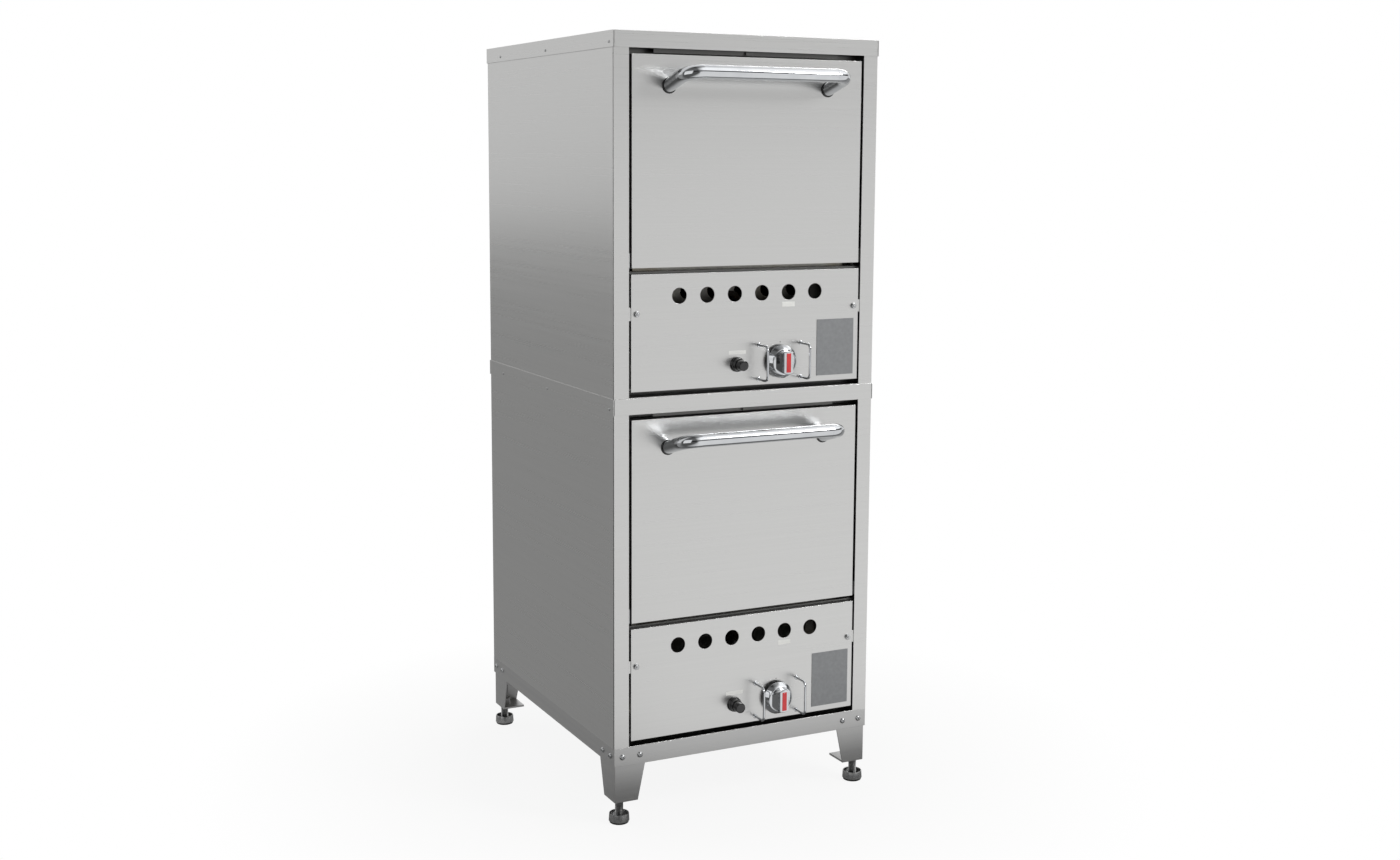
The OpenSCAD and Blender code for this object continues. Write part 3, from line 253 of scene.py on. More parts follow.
# %% [markdown]
# ## Finishes
# A material starts from what the real one is and how its surface was made. Every pattern is
# scaled in millimetres and reads Object coordinates, so it stays put on its piece. The pattern
# nodes come first and the shader last, so each finish reads from its cause to its effect.

# %% Start of a finish
def new_finish(name):
    """An empty material, its node tree and the Object coordinates that its patterns read."""
    material = bpy.data.materials.new(name)
    material.use_nodes = True
    material.node_tree.nodes.clear()
    return material, material.node_tree, add(material.node_tree, "TexCoord")


def per_mm(size_mm):
    """The scale of a noise whose lumps are about size_mm across."""
    return 1 / (size_mm * MM)


# %% [markdown]
# ### Brushed stainless steel
# The sheets are AISI 430 with a number 4 finish: an abrasive belt has left fine parallel scratches. They
# smear a reflection across the grain and keep it sharp along it, which is what the anisotropy does. The
# grain runs across the fronts and along the depth on the sides. Real scratches are some 0.1 mm apart,
# which no picture of a whole oven shows, so here they are 1.5 mm apart with broad faint bands over them.
# Folds and cut edges are rounded by 0.8 mm in the shading. The rails that lie far back behind the doors
# get painted shade: from a given depth back, the same sheet's colour turns a dull dark grey, which stands
# in for the shade in that recess.

# %% Brushed sheet
def brushed_sheet(name, dark, light, roughness, anisotropy, recess_shade_depth=None):
    material, tree, place = new_finish(name)
    facing = add(tree, "SeparateXYZ", links={"Vector": place.outputs["Normal"]})
    flat = add(tree, "Math", {"operation": "ABSOLUTE"}, {0: facing.outputs["X"]})
    sideways = add(tree, "Math", {"operation": "GREATER_THAN", 1: 0.7}, {0: flat})
    stretch = add(tree, "Mix", {"data_type": "VECTOR", VECTOR_A: (0.005, 1, 1), VECTOR_B: (1, 0.005, 1)},
                  {0: sideways})
    along = add(tree, "VectorMath", {"operation": "MULTIPLY"},
                {0: place.outputs["Object"], 1: stretch.outputs[VECTOR_OUT]})
    scratches = add(tree, "TexNoise", {"Scale": per_mm(1.5), "Detail": 4.0}, {"Vector": along})
    bands = add(tree, "TexNoise", {"Scale": per_mm(11), "Detail": 2.0}, {"Vector": along})
    both = add(tree, "Math", {"operation": "ADD"}, {0: scratches, 1: bands})
    streaks = add(tree, "Math", {"operation": "MULTIPLY", 1: 0.5}, {0: both})
    colour = add(tree, "ValToRGB", {"stops": [(0.36, linear(dark)), (0.64, linear(light))]},
                 {"Fac": streaks})
    gloss = add(tree, "MapRange", {"From Min": 0.3, "From Max": 0.7, "To Min": roughness - 0.03,
                                   "To Max": roughness + 0.03}, {"Value": streaks})
    # Painted shade: from the given depth back, the colour turns a dull dark grey that stands in for the
    # shade in the recess behind the doors.
    if recess_shade_depth is not None:
        depth = add(tree, "SeparateXYZ", links={"Vector": place.outputs["Object"]}).outputs["Y"]
        recess_shade = add(tree, "MapRange", {"From Min": recess_shade_depth, "From Max": recess_shade_depth + 2 * MM},
                   {"Value": depth})
        colour = add(tree, "Mix", {"data_type": "RGBA", COLOUR_B: linear("#5a5a59")},
                     {0: recess_shade, COLOUR_A: colour}).outputs[COLOUR_OUT]
    rounded = add(tree, "Bevel", {"samples": 4, "Radius": 0.8 * MM})
    scratched = add(tree, "Bump", {"Distance": 0.0006 * MM, "Strength": 1.0},
                    {"Height": scratches, "Normal": rounded})
    turn = add(tree, "Mix", {"data_type": "VECTOR", VECTOR_A: (1, 0, 0), VECTOR_B: (0, 1, 0)},
               {0: sideways})
    run = add(tree, "VectorTransform",
              {"vector_type": "VECTOR", "convert_from": "OBJECT", "convert_to": "WORLD"},
              {0: turn.outputs[VECTOR_OUT]})
    shader = add(tree, "BsdfPrincipled", {"Metallic": 1.0, "Anisotropic": anisotropy},
                 {"Base Color": colour, "Roughness": gloss, "Normal": scratched, "Tangent": run})
    add(tree, "OutputMaterial", links={"Surface": shader})
    return material


# Painted shade on the face frame's rails behind the doors starts this far back from the front.
RECESS_SHADE_FROM = front_y + 1.5 * MM
stainless = brushed_sheet("brushed_stainless_steel", "#c3c3c2", "#c8c8c7", 0.29, 0.6)
frame_steel = brushed_sheet("brushed_frame_steel", "#c3c3c2", "#c8c8c7", 0.29, 0.6, RECESS_SHADE_FROM)
stand_steel = brushed_sheet("brushed_stand_steel", "#bababa", "#c1c1c0", 0.38, 0.5)

# %% [markdown]
# ### Chrome, zinc, castings and plastics
# The handles and knob guards are steel tube and wire, polished and plated with nickel and
# chromium: an almost perfect mirror, slightly blue, with a trace of wiping haze. Nuts and
# screws are zinc-plated or turned steel with a duller, broken gloss. Castings have a pebbled
# skin. The igniter is moulded phenolic, just short of a mirror, and its colour is the resin's
# own. All of these are one even skin, so one function serves: fine lumps for the gloss and the
# relief, and broader clouds for the colour.

# %% Even skins
def even_skin(name, dark, light, roughness, lump_mm, depth_mm, constants):
    material, tree, place = new_finish(name)
    skin = add(tree, "TexNoise", {"Scale": per_mm(lump_mm), "Detail": 3.0},
               {"Vector": place.outputs["Object"]})
    clouds = add(tree, "TexNoise", {"Scale": per_mm(lump_mm * 8), "Detail": 4.0},
                 {"Vector": place.outputs["Object"]})
    colour = add(tree, "ValToRGB", {"stops": [(0.3, linear(dark)), (0.7, linear(light))]},
                 {"Fac": clouds})
    gloss = add(tree, "MapRange", {"From Min": 0.3, "From Max": 0.7, "To Min": roughness * 0.8,
                                   "To Max": roughness * 1.2}, {"Value": skin})
    pebbled = add(tree, "Bump", {"Distance": depth_mm * MM, "Strength": 1.0}, {"Height": skin})
    shader = add(tree, "BsdfPrincipled", constants,
                 {"Base Color": colour, "Roughness": gloss, "Normal": pebbled})
    add(tree, "OutputMaterial", links={"Surface": shader})
    return material


METAL = {"Metallic": 1.0}
chrome = even_skin("chromium_plated_steel", "#bec0c3", "#c9cbcd", 0.06, 6, 0.0005, METAL)
zinc = even_skin("zinc_plated_steel", "#a8a9ab", "#c3c4c4", 0.26, 2, 0.006, METAL)
turned_steel = even_skin("turned_steel", "#8f9091", "#b9b9b8", 0.3, 1.5, 0.01, METAL)
cast_aluminium = even_skin("cast_aluminium", "#8f9092", "#a9aaab", 0.5, 1.5, 0.08, METAL)
brass = even_skin("machined_brass", "#a58440", "#c9a35a", 0.28, 2, 0.006, METAL)
anodised = even_skin("anodised_aluminium_plate", "#828385", "#898b8c", 0.42, 1, 0.001,
                     {"Metallic": 0.85})
phenolic = even_skin("moulded_black_phenolic", "#0b0b0c", "#121213", 0.2, 3, 0.005,
                     {"Coat Weight": 0.3})
enamel = even_skin("black_enamel_mark", "#101010", "#1a1a1a", 0.4, 2, 0.003, {})
red_acrylic = even_skin("red_acrylic_insert", "#c0171e", "#d42428", 0.18, 4, 0.004,
                        {"Coat Weight": 0.4})
rubber = even_skin("black_rubber", "#161615", "#232322", 0.75, 1.2, 0.05, {})
vinyl = even_skin("white_vinyl", "#e0e0dd", "#e8e8e5", 0.38, 4, 0.004, {})

# %% [markdown]
# ### Sheet and pipe inside the oven
# The chamber is aluminised steel. It starts as a spangled satin grey and the heat turns it straw
# and brown in soft clouds. The burner is plain steel that has oxidised to a dark scale, and the
# gas pipe is black iron with mill scale.

# %% Metals that have been hot
def heated_metal(name, stops, roughness, metallic, cloud_mm, spangle_mm, depth_mm):
    material, tree, place = new_finish(name)
    clouds = add(tree, "TexNoise", {"Scale": per_mm(cloud_mm), "Detail": 5.0},
                 {"Vector": place.outputs["Object"]})
    spangle = add(tree, "TexNoise", {"Scale": per_mm(spangle_mm), "Detail": 2.0},
                  {"Vector": place.outputs["Object"]})
    colour = add(tree, "ValToRGB", {"stops": [(p, linear(c)) for p, c in stops]}, {"Fac": clouds})
    gloss = add(tree, "MapRange", {"From Min": 0.3, "From Max": 0.7, "To Min": roughness - 0.08,
                                   "To Max": roughness + 0.1}, {"Value": spangle})
    scaled = add(tree, "Bump", {"Distance": depth_mm * MM, "Strength": 1.0}, {"Height": spangle})
    shader = add(tree, "BsdfPrincipled", {"Metallic": metallic},
                 {"Base Color": colour, "Roughness": gloss, "Normal": scaled})
    add(tree, "OutputMaterial", links={"Surface": shader})
    return material


aluminised = heated_metal("aluminised_steel", [(0.35, "#9d9b97"), (0.55, "#aaa8a2"), (0.72, "#8f8571")],
                          0.42, 1.0, 160, 3, 0.02)
oxidised = heated_metal("oxidised_burner_steel", [(0.3, "#3a3633"), (0.55, "#57504a"), (0.75, "#6d5746")],
                        0.62, 0.7, 40, 2, 0.08)
black_iron = heated_metal("black_iron_pipe", [(0.3, "#262627"), (0.7, "#3b3a3a")],
                          0.5, 0.6, 30, 1.5, 0.05)

# %% [markdown]
# ### Baking stone
# Cordierite is a pressed, fired clay body: pale buff, open-grained, with dark iron specks. Use
# leaves brown scorch where the crusts lay.

# %% Cordierite
def cordierite():
    material, tree, place = new_finish("cordierite")
    body, crusts, iron = (
        add(tree, "TexNoise", {"Scale": per_mm(size_mm), "Detail": detail},
            {"Vector": place.outputs["Object"]})
        for size_mm, detail in ((25, 6.0), (130, 5.0), (1.6, 1.0)))
    buff = add(tree, "ValToRGB", {"stops": [(0.3, linear("#a8987a")), (0.7, linear("#c4b79c"))]},
               {"Fac": body})
    scorch = add(tree, "ValToRGB", {"stops": [(0.52, grey(0)), (0.68, grey(0.75))]}, {"Fac": crusts})
    specks = add(tree, "ValToRGB", {"stops": [(0.68, grey(0)), (0.74, grey(0.8))]}, {"Fac": iron})
    burnt = add(tree, "Mix", {"data_type": "RGBA", COLOUR_B: linear("#5b4632")},
                {0: scorch, COLOUR_A: buff}).outputs[COLOUR_OUT]
    dotted = add(tree, "Mix", {"data_type": "RGBA", COLOUR_B: linear("#3a2f27")},
                 {0: specks, COLOUR_A: burnt}).outputs[COLOUR_OUT]
    grit = add(tree, "Bump", {"Distance": 0.25 * MM, "Strength": 1.0}, {"Height": iron})
    shader = add(tree, "BsdfPrincipled", {"Roughness": 0.9}, {"Base Color": dotted, "Normal": grit})
    add(tree, "OutputMaterial", links={"Surface": shader})
    return material


stone = cordierite()

# %% [markdown]
# ### Mineral wool and glass yarn
# The cabinet is packed with mineral wool board, a matted tangle of brown-yellow fibres. The door
# closes on a sleeve knitted from glass yarn, cream going grey. Its ribs are really 0.8 mm apart
# and are drawn at 1.5 mm so that they show.

# %% Fibres
def fibres(name, stops, squeeze, size_mm, depth_mm, sheen):
    material, tree, place = new_finish(name)
    matted = add(tree, "Mapping", {"Scale": squeeze}, {"Vector": place.outputs["Object"]})
    tangle = add(tree, "TexNoise", {"Scale": per_mm(size_mm), "Detail": 8.0}, {"Vector": matted})
    colour = add(tree, "ValToRGB", {"stops": [(p, linear(c)) for p, c in stops]}, {"Fac": tangle})
    shaggy = add(tree, "Bump", {"Distance": depth_mm * MM, "Strength": 1.0}, {"Height": tangle})
    shader = add(tree, "BsdfPrincipled", {"Roughness": 1.0, "Sheen Weight": sheen},
                 {"Base Color": colour, "Normal": shaggy})
    add(tree, "OutputMaterial", links={"Surface": shader})
    return material


wool = fibres("mineral_wool", [(0.3, "#6f6440"), (0.5, "#9a8a5e"), (0.72, "#b9ab7d")],
              (1, 1, 6), 9, 1.5, 0.25)
yarn = fibres("knitted_glass_yarn", [(0.35, "#7d776a"), (0.6, "#c9c4b6")],
              (1, 0.5, 1), 1.5, 0.4, 0.2)
print("materials:", len(bpy.data.materials))

# %% [markdown]
# ## Tools for making pieces
# A few small tools make nearly every piece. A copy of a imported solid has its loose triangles
# merged, so that edges can be rounded. A turned shape is an outline spun round an axis, as on a
# lathe. A bent bar is a disc that is pushed and swung along, as tube and wire are bent. A brick
# is a block, and a flat cut takes off what lies beyond a plane.

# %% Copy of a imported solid
def merged_copy(node):
    """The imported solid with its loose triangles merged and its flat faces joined."""
    shape = bmesh.new()
    shape.from_mesh(cad_nodes[node].data)
    bmesh.ops.remove_doubles(shape, verts=shape.verts, dist=0.01 * MM)
    bmesh.ops.dissolve_limit(shape, angle_limit=math.radians(0.5), verts=shape.verts,
                             edges=shape.edges)
    return shape


# %% Turning and bending
def turned(outline, steps=64):
    """A lathe: the outline, as (radius, height) in millimetres, is spun round Z."""
    shape = bmesh.new()
    points = [shape.verts.new((radius * MM, 0, height * MM)) for radius, height in outline]
    lines = [shape.edges.new(pair) for pair in zip(points, points[1:])]
    bmesh.ops.spin(shape, geom=points + lines, axis=(0, 0, 1), cent=(0, 0, 0), angle=2 * math.pi,
                   steps=steps, use_merge=True)
    bmesh.ops.remove_doubles(shape, verts=shape.verts, dist=0.005 * MM)
    bmesh.ops.recalc_face_normals(shape, faces=shape.faces)
    return shape


def bent_bar(diameter, start, facing, moves, sides=32):
    """A round bar: a disc is pushed ("run", vector), stepped ("step", factor) or swung
    ("bend", centre, axis, degrees) along the moves, all in millimetres."""
    shape = bmesh.new()
    turn = Vector((0, 0, 1)).rotation_difference(Vector(facing)).to_matrix().to_4x4()
    disc = bmesh.ops.create_circle(shape, cap_ends=True, segments=sides, radius=diameter / 2 * MM,
                                   matrix=Matrix.Translation(Vector(start) * MM) @ turn)
    tip = list({face for vert in disc["verts"] for face in vert.link_faces})
    for kind, *details in moves:
        if kind == "bend":
            centre, axis, degrees = details
            made = bmesh.ops.spin(shape, geom=tip, cent=Vector(centre) * MM, axis=axis,
                                  angle=math.radians(degrees), steps=16)["geom_last"]
        else:
            made = bmesh.ops.extrude_face_region(shape, geom=tip)["geom"]
        verts = [part for part in made if isinstance(part, bmesh.types.BMVert)]
        if kind == "run":
            bmesh.ops.translate(shape, verts=verts, vec=Vector(details[0]) * MM)
        if kind == "step":
            middle = sum((vert.co for vert in verts), Vector()) / len(verts)
            bmesh.ops.scale(shape, verts=verts, vec=(details[0],) * 3,
                            space=Matrix.Translation(-middle))
        inner_disc = [face for face in tip if face.is_valid]
        bmesh.ops.delete(shape, geom=inner_disc, context="FACES_ONLY")
        tip = [part for part in made if isinstance(part, bmesh.types.BMFace)]
    bmesh.ops.remove_doubles(shape, verts=shape.verts, dist=0.001 * MM)
    bmesh.ops.holes_fill(shape, edges=shape.edges)
    bmesh.ops.recalc_face_normals(shape, faces=shape.faces)
    return shape


def brick(low, high):
    """A box between two corners in millimetres, to be bevelled or cut."""
    shape = bmesh.new()
    size = [b - a for a, b in zip(low, high)]
    middle = [(a + b) / 2 for a, b in zip(low, high)]
    bmesh.ops.create_cube(shape, size=MM)
    bmesh.ops.scale(shape, verts=shape.verts, vec=size)
    bmesh.ops.translate(shape, verts=shape.verts, vec=Vector(middle) * MM)
    return shape


def cut_flat(shape, point, normal):
    """Takes off what lies beyond a plane, its point in millimetres, and closes the cut."""
    cut = bmesh.ops.bisect_plane(shape, geom=shape.verts[:] + shape.edges[:] + shape.faces[:], dist=1e-7,
                                 plane_co=[value * MM for value in point], plane_no=normal,
                                 clear_outer=True)
    rim = [part for part in cut["geom_cut"] if isinstance(part, bmesh.types.BMEdge)]
    bmesh.ops.holes_fill(shape, edges=rim)


def joined(shapes_and_places):
    """Puts several shapes, each at its places, into one mesh."""
    whole = bmesh.new()
    for shape, places in shapes_and_places:
        master = bpy.data.meshes.new("master")
        shape.to_mesh(master)
        shape.free()
        for place in places:
            known = len(whole.verts)
            whole.from_mesh(master)
            whole.verts.ensure_lookup_table()
            bmesh.ops.transform(whole, matrix=place, verts=whole.verts[known:])
        bpy.data.meshes.remove(master)
    return whole


# %% [markdown]
# ### Places
# Every small part is made once in its own frame and then set in each of its places. A place is a
# matrix, and a deck's places are measured from the middle of its front, at its top.

# %% Places on the oven
BODY_HALF, BODY_DEPTH = 350, 840


def at(x, y, z):
    """Moves by millimetres."""
    return Matrix.Translation((x * MM, y * MM, z * MM))


def rolled(degrees, axis):
    """Turns about an axis through the origin."""
    return Matrix.Rotation(math.radians(degrees), 4, axis)


def in_deck(deck):
    """From a deck's own frame, X across, Y back from its front, Z up from its top."""
    return Matrix.Translation((0, front_y, deck_top[deck]))


def on_front(deck, x, z):
    """From a part's own frame, with Z coming straight out, to a point of a deck's front."""
    return in_deck(deck) @ at(x, 0, z) @ rolled(90, "X")


# %% [markdown]
# ### From shape to piece
# A finished piece has its material, hangs on the body that moves it, hides the imported solid that it
# takes the place of, and has its sharper edges rounded where a rounding is given.

# %% Finishing a piece
CREASE = math.radians(35)


def make_piece(name, shape, material, body, replaced=(), rounding=0.0, segments=3):
    """Turns a shape into a finished piece: material, body, rounded edges and smooth shading."""
    mesh = bpy.data.meshes.new(name)
    shape.to_mesh(mesh)
    shape.free()
    mesh.shade_smooth()
    mesh.set_sharp_from_angle(angle=CREASE)
    mesh.materials.append(material)
    piece = bpy.data.objects.new(name, mesh)
    bpy.context.scene.collection.objects.link(piece)
    if rounding:
        edge = piece.modifiers.new("edge", "BEVEL")
        edge.width = rounding * MM
        edge.segments = segments
        edge.limit_method = "ANGLE"
        edge.angle_limit = CREASE
        edge.use_clamp_overlap = True
        even = piece.modifiers.new("even", "WEIGHTED_NORMAL")
        even.keep_sharp = True
    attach(piece, body)
    if replaced:
        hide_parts(*replaced)


# %% [markdown]
# ## Sheet metal
# The outer sheets are cut, folded on a press brake and hung on the frame. The solids already
# have every fold, hole and seam in its real place. The side sheets stop a little short of the
# front frame, which is the dark line down each front corner. A fold is never knife-sharp, so the
# copies of the plain sheets get a small radius that catches a thin line of light. The face frame
# and the control panel are full of holes and slots, where a modifier would leave creases, so they
# stay as packed and have their edges rounded by their finish alone.

# %% Folded sheets
SHEETS = [(deck + "_" + part, stainless, 0.7) for deck in DECKS for part in (
    "left_side", "right_side", "rear_panel", "top_cap", "door_shell")]
SHEETS += [("base_frame", stand_steel, 1.0), ("corner_legs", stand_steel, 1.0)]
JOINT_SETBACK = 3.0
for node, finish, rounding in SHEETS:
    slot = "stand_steel" if finish is stand_steel else "stainless"
    shape = merged_copy(node)
    if node.endswith("_side"):
        for vert in shape.verts:
            if vert.co.y < front_y + 2 * MM:
                vert.co.y += JOINT_SETBACK * MM
    make_piece(node + "_sheet", shape, finish, body_of_node[node], (node,), rounding, 2)


def dress(node, finish):
    mesh = cad_nodes[node].data
    mesh.materials.clear()
    mesh.materials.append(finish)


for deck in DECKS:
    dress(deck + "_face_frame", frame_steel)
    dress(deck + "_control_panel", stainless)
print("folded sheets:", len(SHEETS) + 4)

# %% [markdown]
# ## Inside the oven
# The chamber, burner box, floor, baffle and flue stay as packed, for their forms are right, and
# only take their finish. Round parts, such as the burner tubes, are merged so that they shade
# smoothly.

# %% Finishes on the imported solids
for node in ("burner_boxes", "floor_pans", "flame_baffles", "flue_ducts"):
    dress(node, aluminised)
for deck in DECKS:
    dress(deck + "_chamber", aluminised)
    dress(deck + "_door_liner", aluminised)

# %% Round parts inside
ROUND = [
    ("pilot_burners", cast_aluminium, "cast_aluminium"),
    ("hinge_brackets", zinc, "bright_steel"),
    ("instruction_plates", anodised, "plate_aluminium"),
]
for deck in DECKS:
    ROUND += [
        (deck + "_burner", oxidised, "burner_steel"),
        (deck + "_gas_pipes", black_iron, "pipe_steel"),
        (deck + "_thermostat", cast_aluminium, "cast_aluminium"),
        (deck + "_hinge_arms", zinc, "bright_steel"),
        (deck + "_knob_shaft", brass, "cast_aluminium"),
    ]
for node, finish, slot in ROUND:
    make_piece(node + "_smooth", merged_copy(node), finish, body_of_node[node], (node,))
print("smoothed solids:", len(ROUND))

# %% [markdown]
# ## Baking stone, insulation and door seal
# The stone slabs have their arrises rubbed off so that they don't chip. The mineral wool boards
# have soft edges. The seal is a knitted sleeve that the door presses into a low D.

# %% Stones, wool and seal
for deck in DECKS:
    make_piece(deck + "_cordierite_slabs", merged_copy(deck + "_baking_stone"), stone, "oven",
               (deck + "_baking_stone",), 2.5)
    make_piece(deck + "_door_wool", merged_copy(deck + "_door_insulation"), wool, deck + "_door",
               (deck + "_door_insulation",), 4.0)
make_piece("body_wool", merged_copy("body_insulation"), wool, "oven",
           ("body_insulation",), 4.0)
make_piece("door_rope", merged_copy("door_seals"), yarn, "oven",
           ("door_seals",), 2.4, 5)

# %% [markdown]
# ## Door handle
# The handle is one tube with two elbows welded in and polished, so a fine step shows where each
# elbow starts. A disc is pushed up one leg, swung round the elbow, pushed along the bar and back
# down. The legs lean upwards. The feet are cut flat on the door, and each stands in a black
# ferrule on a washer, with a stud and nut behind the sheet.

# %% Handles
HANDLE_X, HANDLE_REACH, HANDLE_BEND, HANDLE_TILT = 211.0, 98.0, 36.0, 16.0
HANDLE_Z = -121.0
TUBE, ELBOW = 31.7, 32.0
SPARE = 20
reach = HANDLE_REACH / math.cos(math.radians(HANDLE_TILT))
bar = HANDLE_X - HANDLE_BEND
for deck in DECKS:
    step = ELBOW / TUBE
    tube = bent_bar(TUBE, (HANDLE_X, SPARE, 0), (0, -1, 0), [
        ("run", (0, HANDLE_BEND - reach - SPARE, 0)), ("step", step),
        ("bend", (bar, HANDLE_BEND - reach, 0), (0, 0, 1), -90), ("step", 1 / step),
        ("run", (-2 * bar, 0, 0)), ("step", step),
        ("bend", (-bar, HANDLE_BEND - reach, 0), (0, 0, 1), -90), ("step", 1 / step),
        ("run", (0, SPARE + reach - HANDLE_BEND, 0)),
    ], 48)
    lean = at(0, 0, HANDLE_Z) @ rolled(-HANDLE_TILT, "X")
    bmesh.ops.transform(tube, matrix=lean, verts=tube.verts)
    cut_flat(tube, (0, -0.2, 0), (0, 1, 0))
    bmesh.ops.transform(tube, matrix=in_deck(deck), verts=tube.verts)
    make_piece(deck + "_handle_tube", tube, chrome, deck + "_door",
               (deck + "_door_handle",))
    feet = [on_front(deck, side * HANDLE_X, HANDLE_Z) for side in (-1, 1)]
    ferrule = turned([(15.2, 1.0), (17.9, 1.0), (17.9, 2.4), (17.3, 3.0), (15.2, 3.0), (15.2, 1.0)])
    washer = turned([(15.2, 0.1), (18.4, 0.1), (18.4, 0.95), (15.2, 0.95), (15.2, 0.1)])
    stud = turned([(0, -14), (4, -14), (4, 6), (0, 6)], 24)
    nut = turned([(4, -8), (7.5, -8), (7.5, -1.6), (4, -1.6), (4, -8)], 6)
    make_piece(deck + "_handle_ferrules", joined([(ferrule, feet), (washer, feet)]), phenolic,
               deck + "_door")
    make_piece(deck + "_handle_studs", joined([(stud, feet), (nut, feet)]), zinc,
               deck + "_door")
print("handle reach along its leg:", round(reach, 1), "mm")

# %% [markdown]
# ## Dial knob and its guards
# The knob is a die-cast skirt with a bar grip across it, chromed, and a red strip in the grip
# that shows the setting. The skirt is turned on the lathe. The grip's two ends are round, so it
# starts as a turned disc, and two slanting cuts leave the bar with flanks that run down to the
# rim, as a scooped finger grip does.

# %% Knobs
KNOB = (88.0, -771.0)
GRIP_W, GRIP_L, GRIP_TOP = 23.0, 56.0, 44
FLANK_SLOPE = 0.62
for deck in DECKS:
    dial = on_front(deck, *KNOB)
    skirt = turned([(4.05, 12), (9, 12), (9, 21.5), (28.5, 21.5), (36.5, 10), (39.6, 10), (40, 10.4),
                    (40, 11.4), (39.4, 12.2), (31.8, 23.4), (30.6, 24.0), (8, 24.0), (8, 22.2),
                    (4.05, 22.2), (4.05, 12)], 96)
    make_piece(deck + "_knob_skirt", joined([(skirt, [dial])]), chrome, deck + "_dial",
               (deck + "_knob",))
    grip = turned([(0, 23.5), (GRIP_L / 2, 23.5), (GRIP_L / 2, 42.5), (GRIP_L / 2 - 1.2, GRIP_TOP),
                   (0, GRIP_TOP)], 96)
    for side in (-1, 1):
        cut_flat(grip, (side * GRIP_W / 2, 0, GRIP_TOP), (side, 0, FLANK_SLOPE))
    make_piece(deck + "_knob_grip", joined([(grip, [dial])]), chrome, deck + "_dial",
               (), 0.8)
    insert = brick((-6.2, -23.2, GRIP_TOP - 0.6), (6.2, 23.2, GRIP_TOP + 0.6))
    make_piece(deck + "_knob_insert", joined([(insert, [dial])]), red_acrylic, deck + "_dial",
               (), 0.5)

# %% [markdown]
# ### Knob guards
# A hoop of 6 mm wire on each side of the dial keeps trays from knocking it. Its legs pass through
# the panel, with a collar in front and a nut behind.

# %% Knob guards
GUARD_X, GUARD_LEG = 58, 41.5


def guard():
    """One wire hoop in its own frame: Z out of the panel, the legs apart along Y."""
    leg, far, bend, behind_panel = GUARD_LEG, 45.0, 12.0, 8
    return bent_bar(6, (0, -leg, -behind_panel), (0, 0, 1), [
        ("run", (0, 0, far - bend + behind_panel)),
        ("bend", (0, bend - leg, far - bend), (1, 0, 0), -90),
        ("run", (0, 2 * (leg - bend), 0)),
        ("bend", (0, leg - bend, far - bend), (1, 0, 0), -90),
        ("run", (0, 0, -(far - bend + behind_panel))),
    ], 24)


guards, collars = [], []
for deck in DECKS:
    for side in (-GUARD_X, GUARD_X):
        guards.append(on_front(deck, KNOB[0] + side, KNOB[1]))
        for end in (-GUARD_LEG, GUARD_LEG):
            collars.append(on_front(deck, KNOB[0] + side, KNOB[1] + end))
collar = turned([(3.1, 0.1), (5.5, 0.1), (5.5, 1.1), (4.9, 1.5), (3.1, 1.5), (3.1, 0.1)], 32)
back_nut = turned([(3.1, -5.5), (6, -5.5), (6, -1.6), (3.1, -1.6), (3.1, -5.5)], 6)
make_piece("knob_guard_wires", joined([(guard(), guards), (collar, collars), (back_nut, collars)]),
           chrome, "oven", ("knob_guards",))
print("guards:", len(guards))

# %% [markdown]
# ## Igniter
# A push-button igniter is a stepped phenolic body held by a nut behind the panel. The button
# slides in the body's bore. Both are turned, with the soft corners that a mould leaves.

# %% Igniters
IGNITER = (-30.0, -773.0)
bodies = [on_front(deck, *IGNITER) for deck in DECKS]
barrel = turned([(0, -42), (10, -42), (10, 0.1), (18.2, 0.1), (18.5, 0.5), (17.6, 7.2), (16.9, 8),
                 (15.6, 8.2), (15.4, 8.8), (14.7, 17.4), (14.1, 18), (12.7, 18), (12.6, 17.7),
                 (12.6, 5.5), (0, 5.5)], 72)
nut = turned([(10.2, -8.5), (15.6, -8.5), (15.6, -1.6), (10.2, -1.6), (10.2, -8.5)], 6)
pin = turned([(0, -50), (1.5, -50), (1.5, -40), (0, -40)], 16)
pins = [place @ at(x, 0, 0) for place in bodies for x in (-4, 4)]
make_piece("igniter_housings", joined([(barrel, bodies), (nut, bodies), (pin, pins)]), phenolic,
           "oven", ("igniter_bodies",))
for deck in DECKS:
    button = turned([(0, 12), (12.5, 12), (12.5, 36.2), (12.1, 37.4), (11, 38), (6, 37.8), (0, 37.6)], 64)
    make_piece(deck + "_push_button", joined([(button, [on_front(deck, *IGNITER)])]), phenolic,
               deck + "_button", (deck + "_igniter_button",))

# %% [markdown]
# ## Screws, bolts and panel fixings
# The cap is held by low round-headed screws, the panels by studs with a washer and a hex nut,
# and the legs by button-head bolts, whose socket is made round here. Each is made once and set in
# every place.

# %% Fixings
CAP_HALF, CAP_SCREW_YS, CAP_SCREW_Z = 352, (22, 413, 735), -25.5
FIXING_X, FIXING_Z = 293, -644
cap_head = turned([(0, -1.6), (2, -1.6), (2, 0), (3.2, 0), (3.25, 0.5), (2.6, 1.3), (1.6, 1.6),
                   (0.9, 1.6), (0.8, 0.8), (0, 0.8)], 24)
cap_places = [in_deck(deck) @ at(side * CAP_HALF, y, CAP_SCREW_Z) @ rolled(side * 90, "Y")
              for deck in DECKS for side in (-1, 1) for y in CAP_SCREW_YS]
make_piece("cap_screw_heads", joined([(cap_head, cap_places)]), zinc, "oven",
           ("cap_screws",))

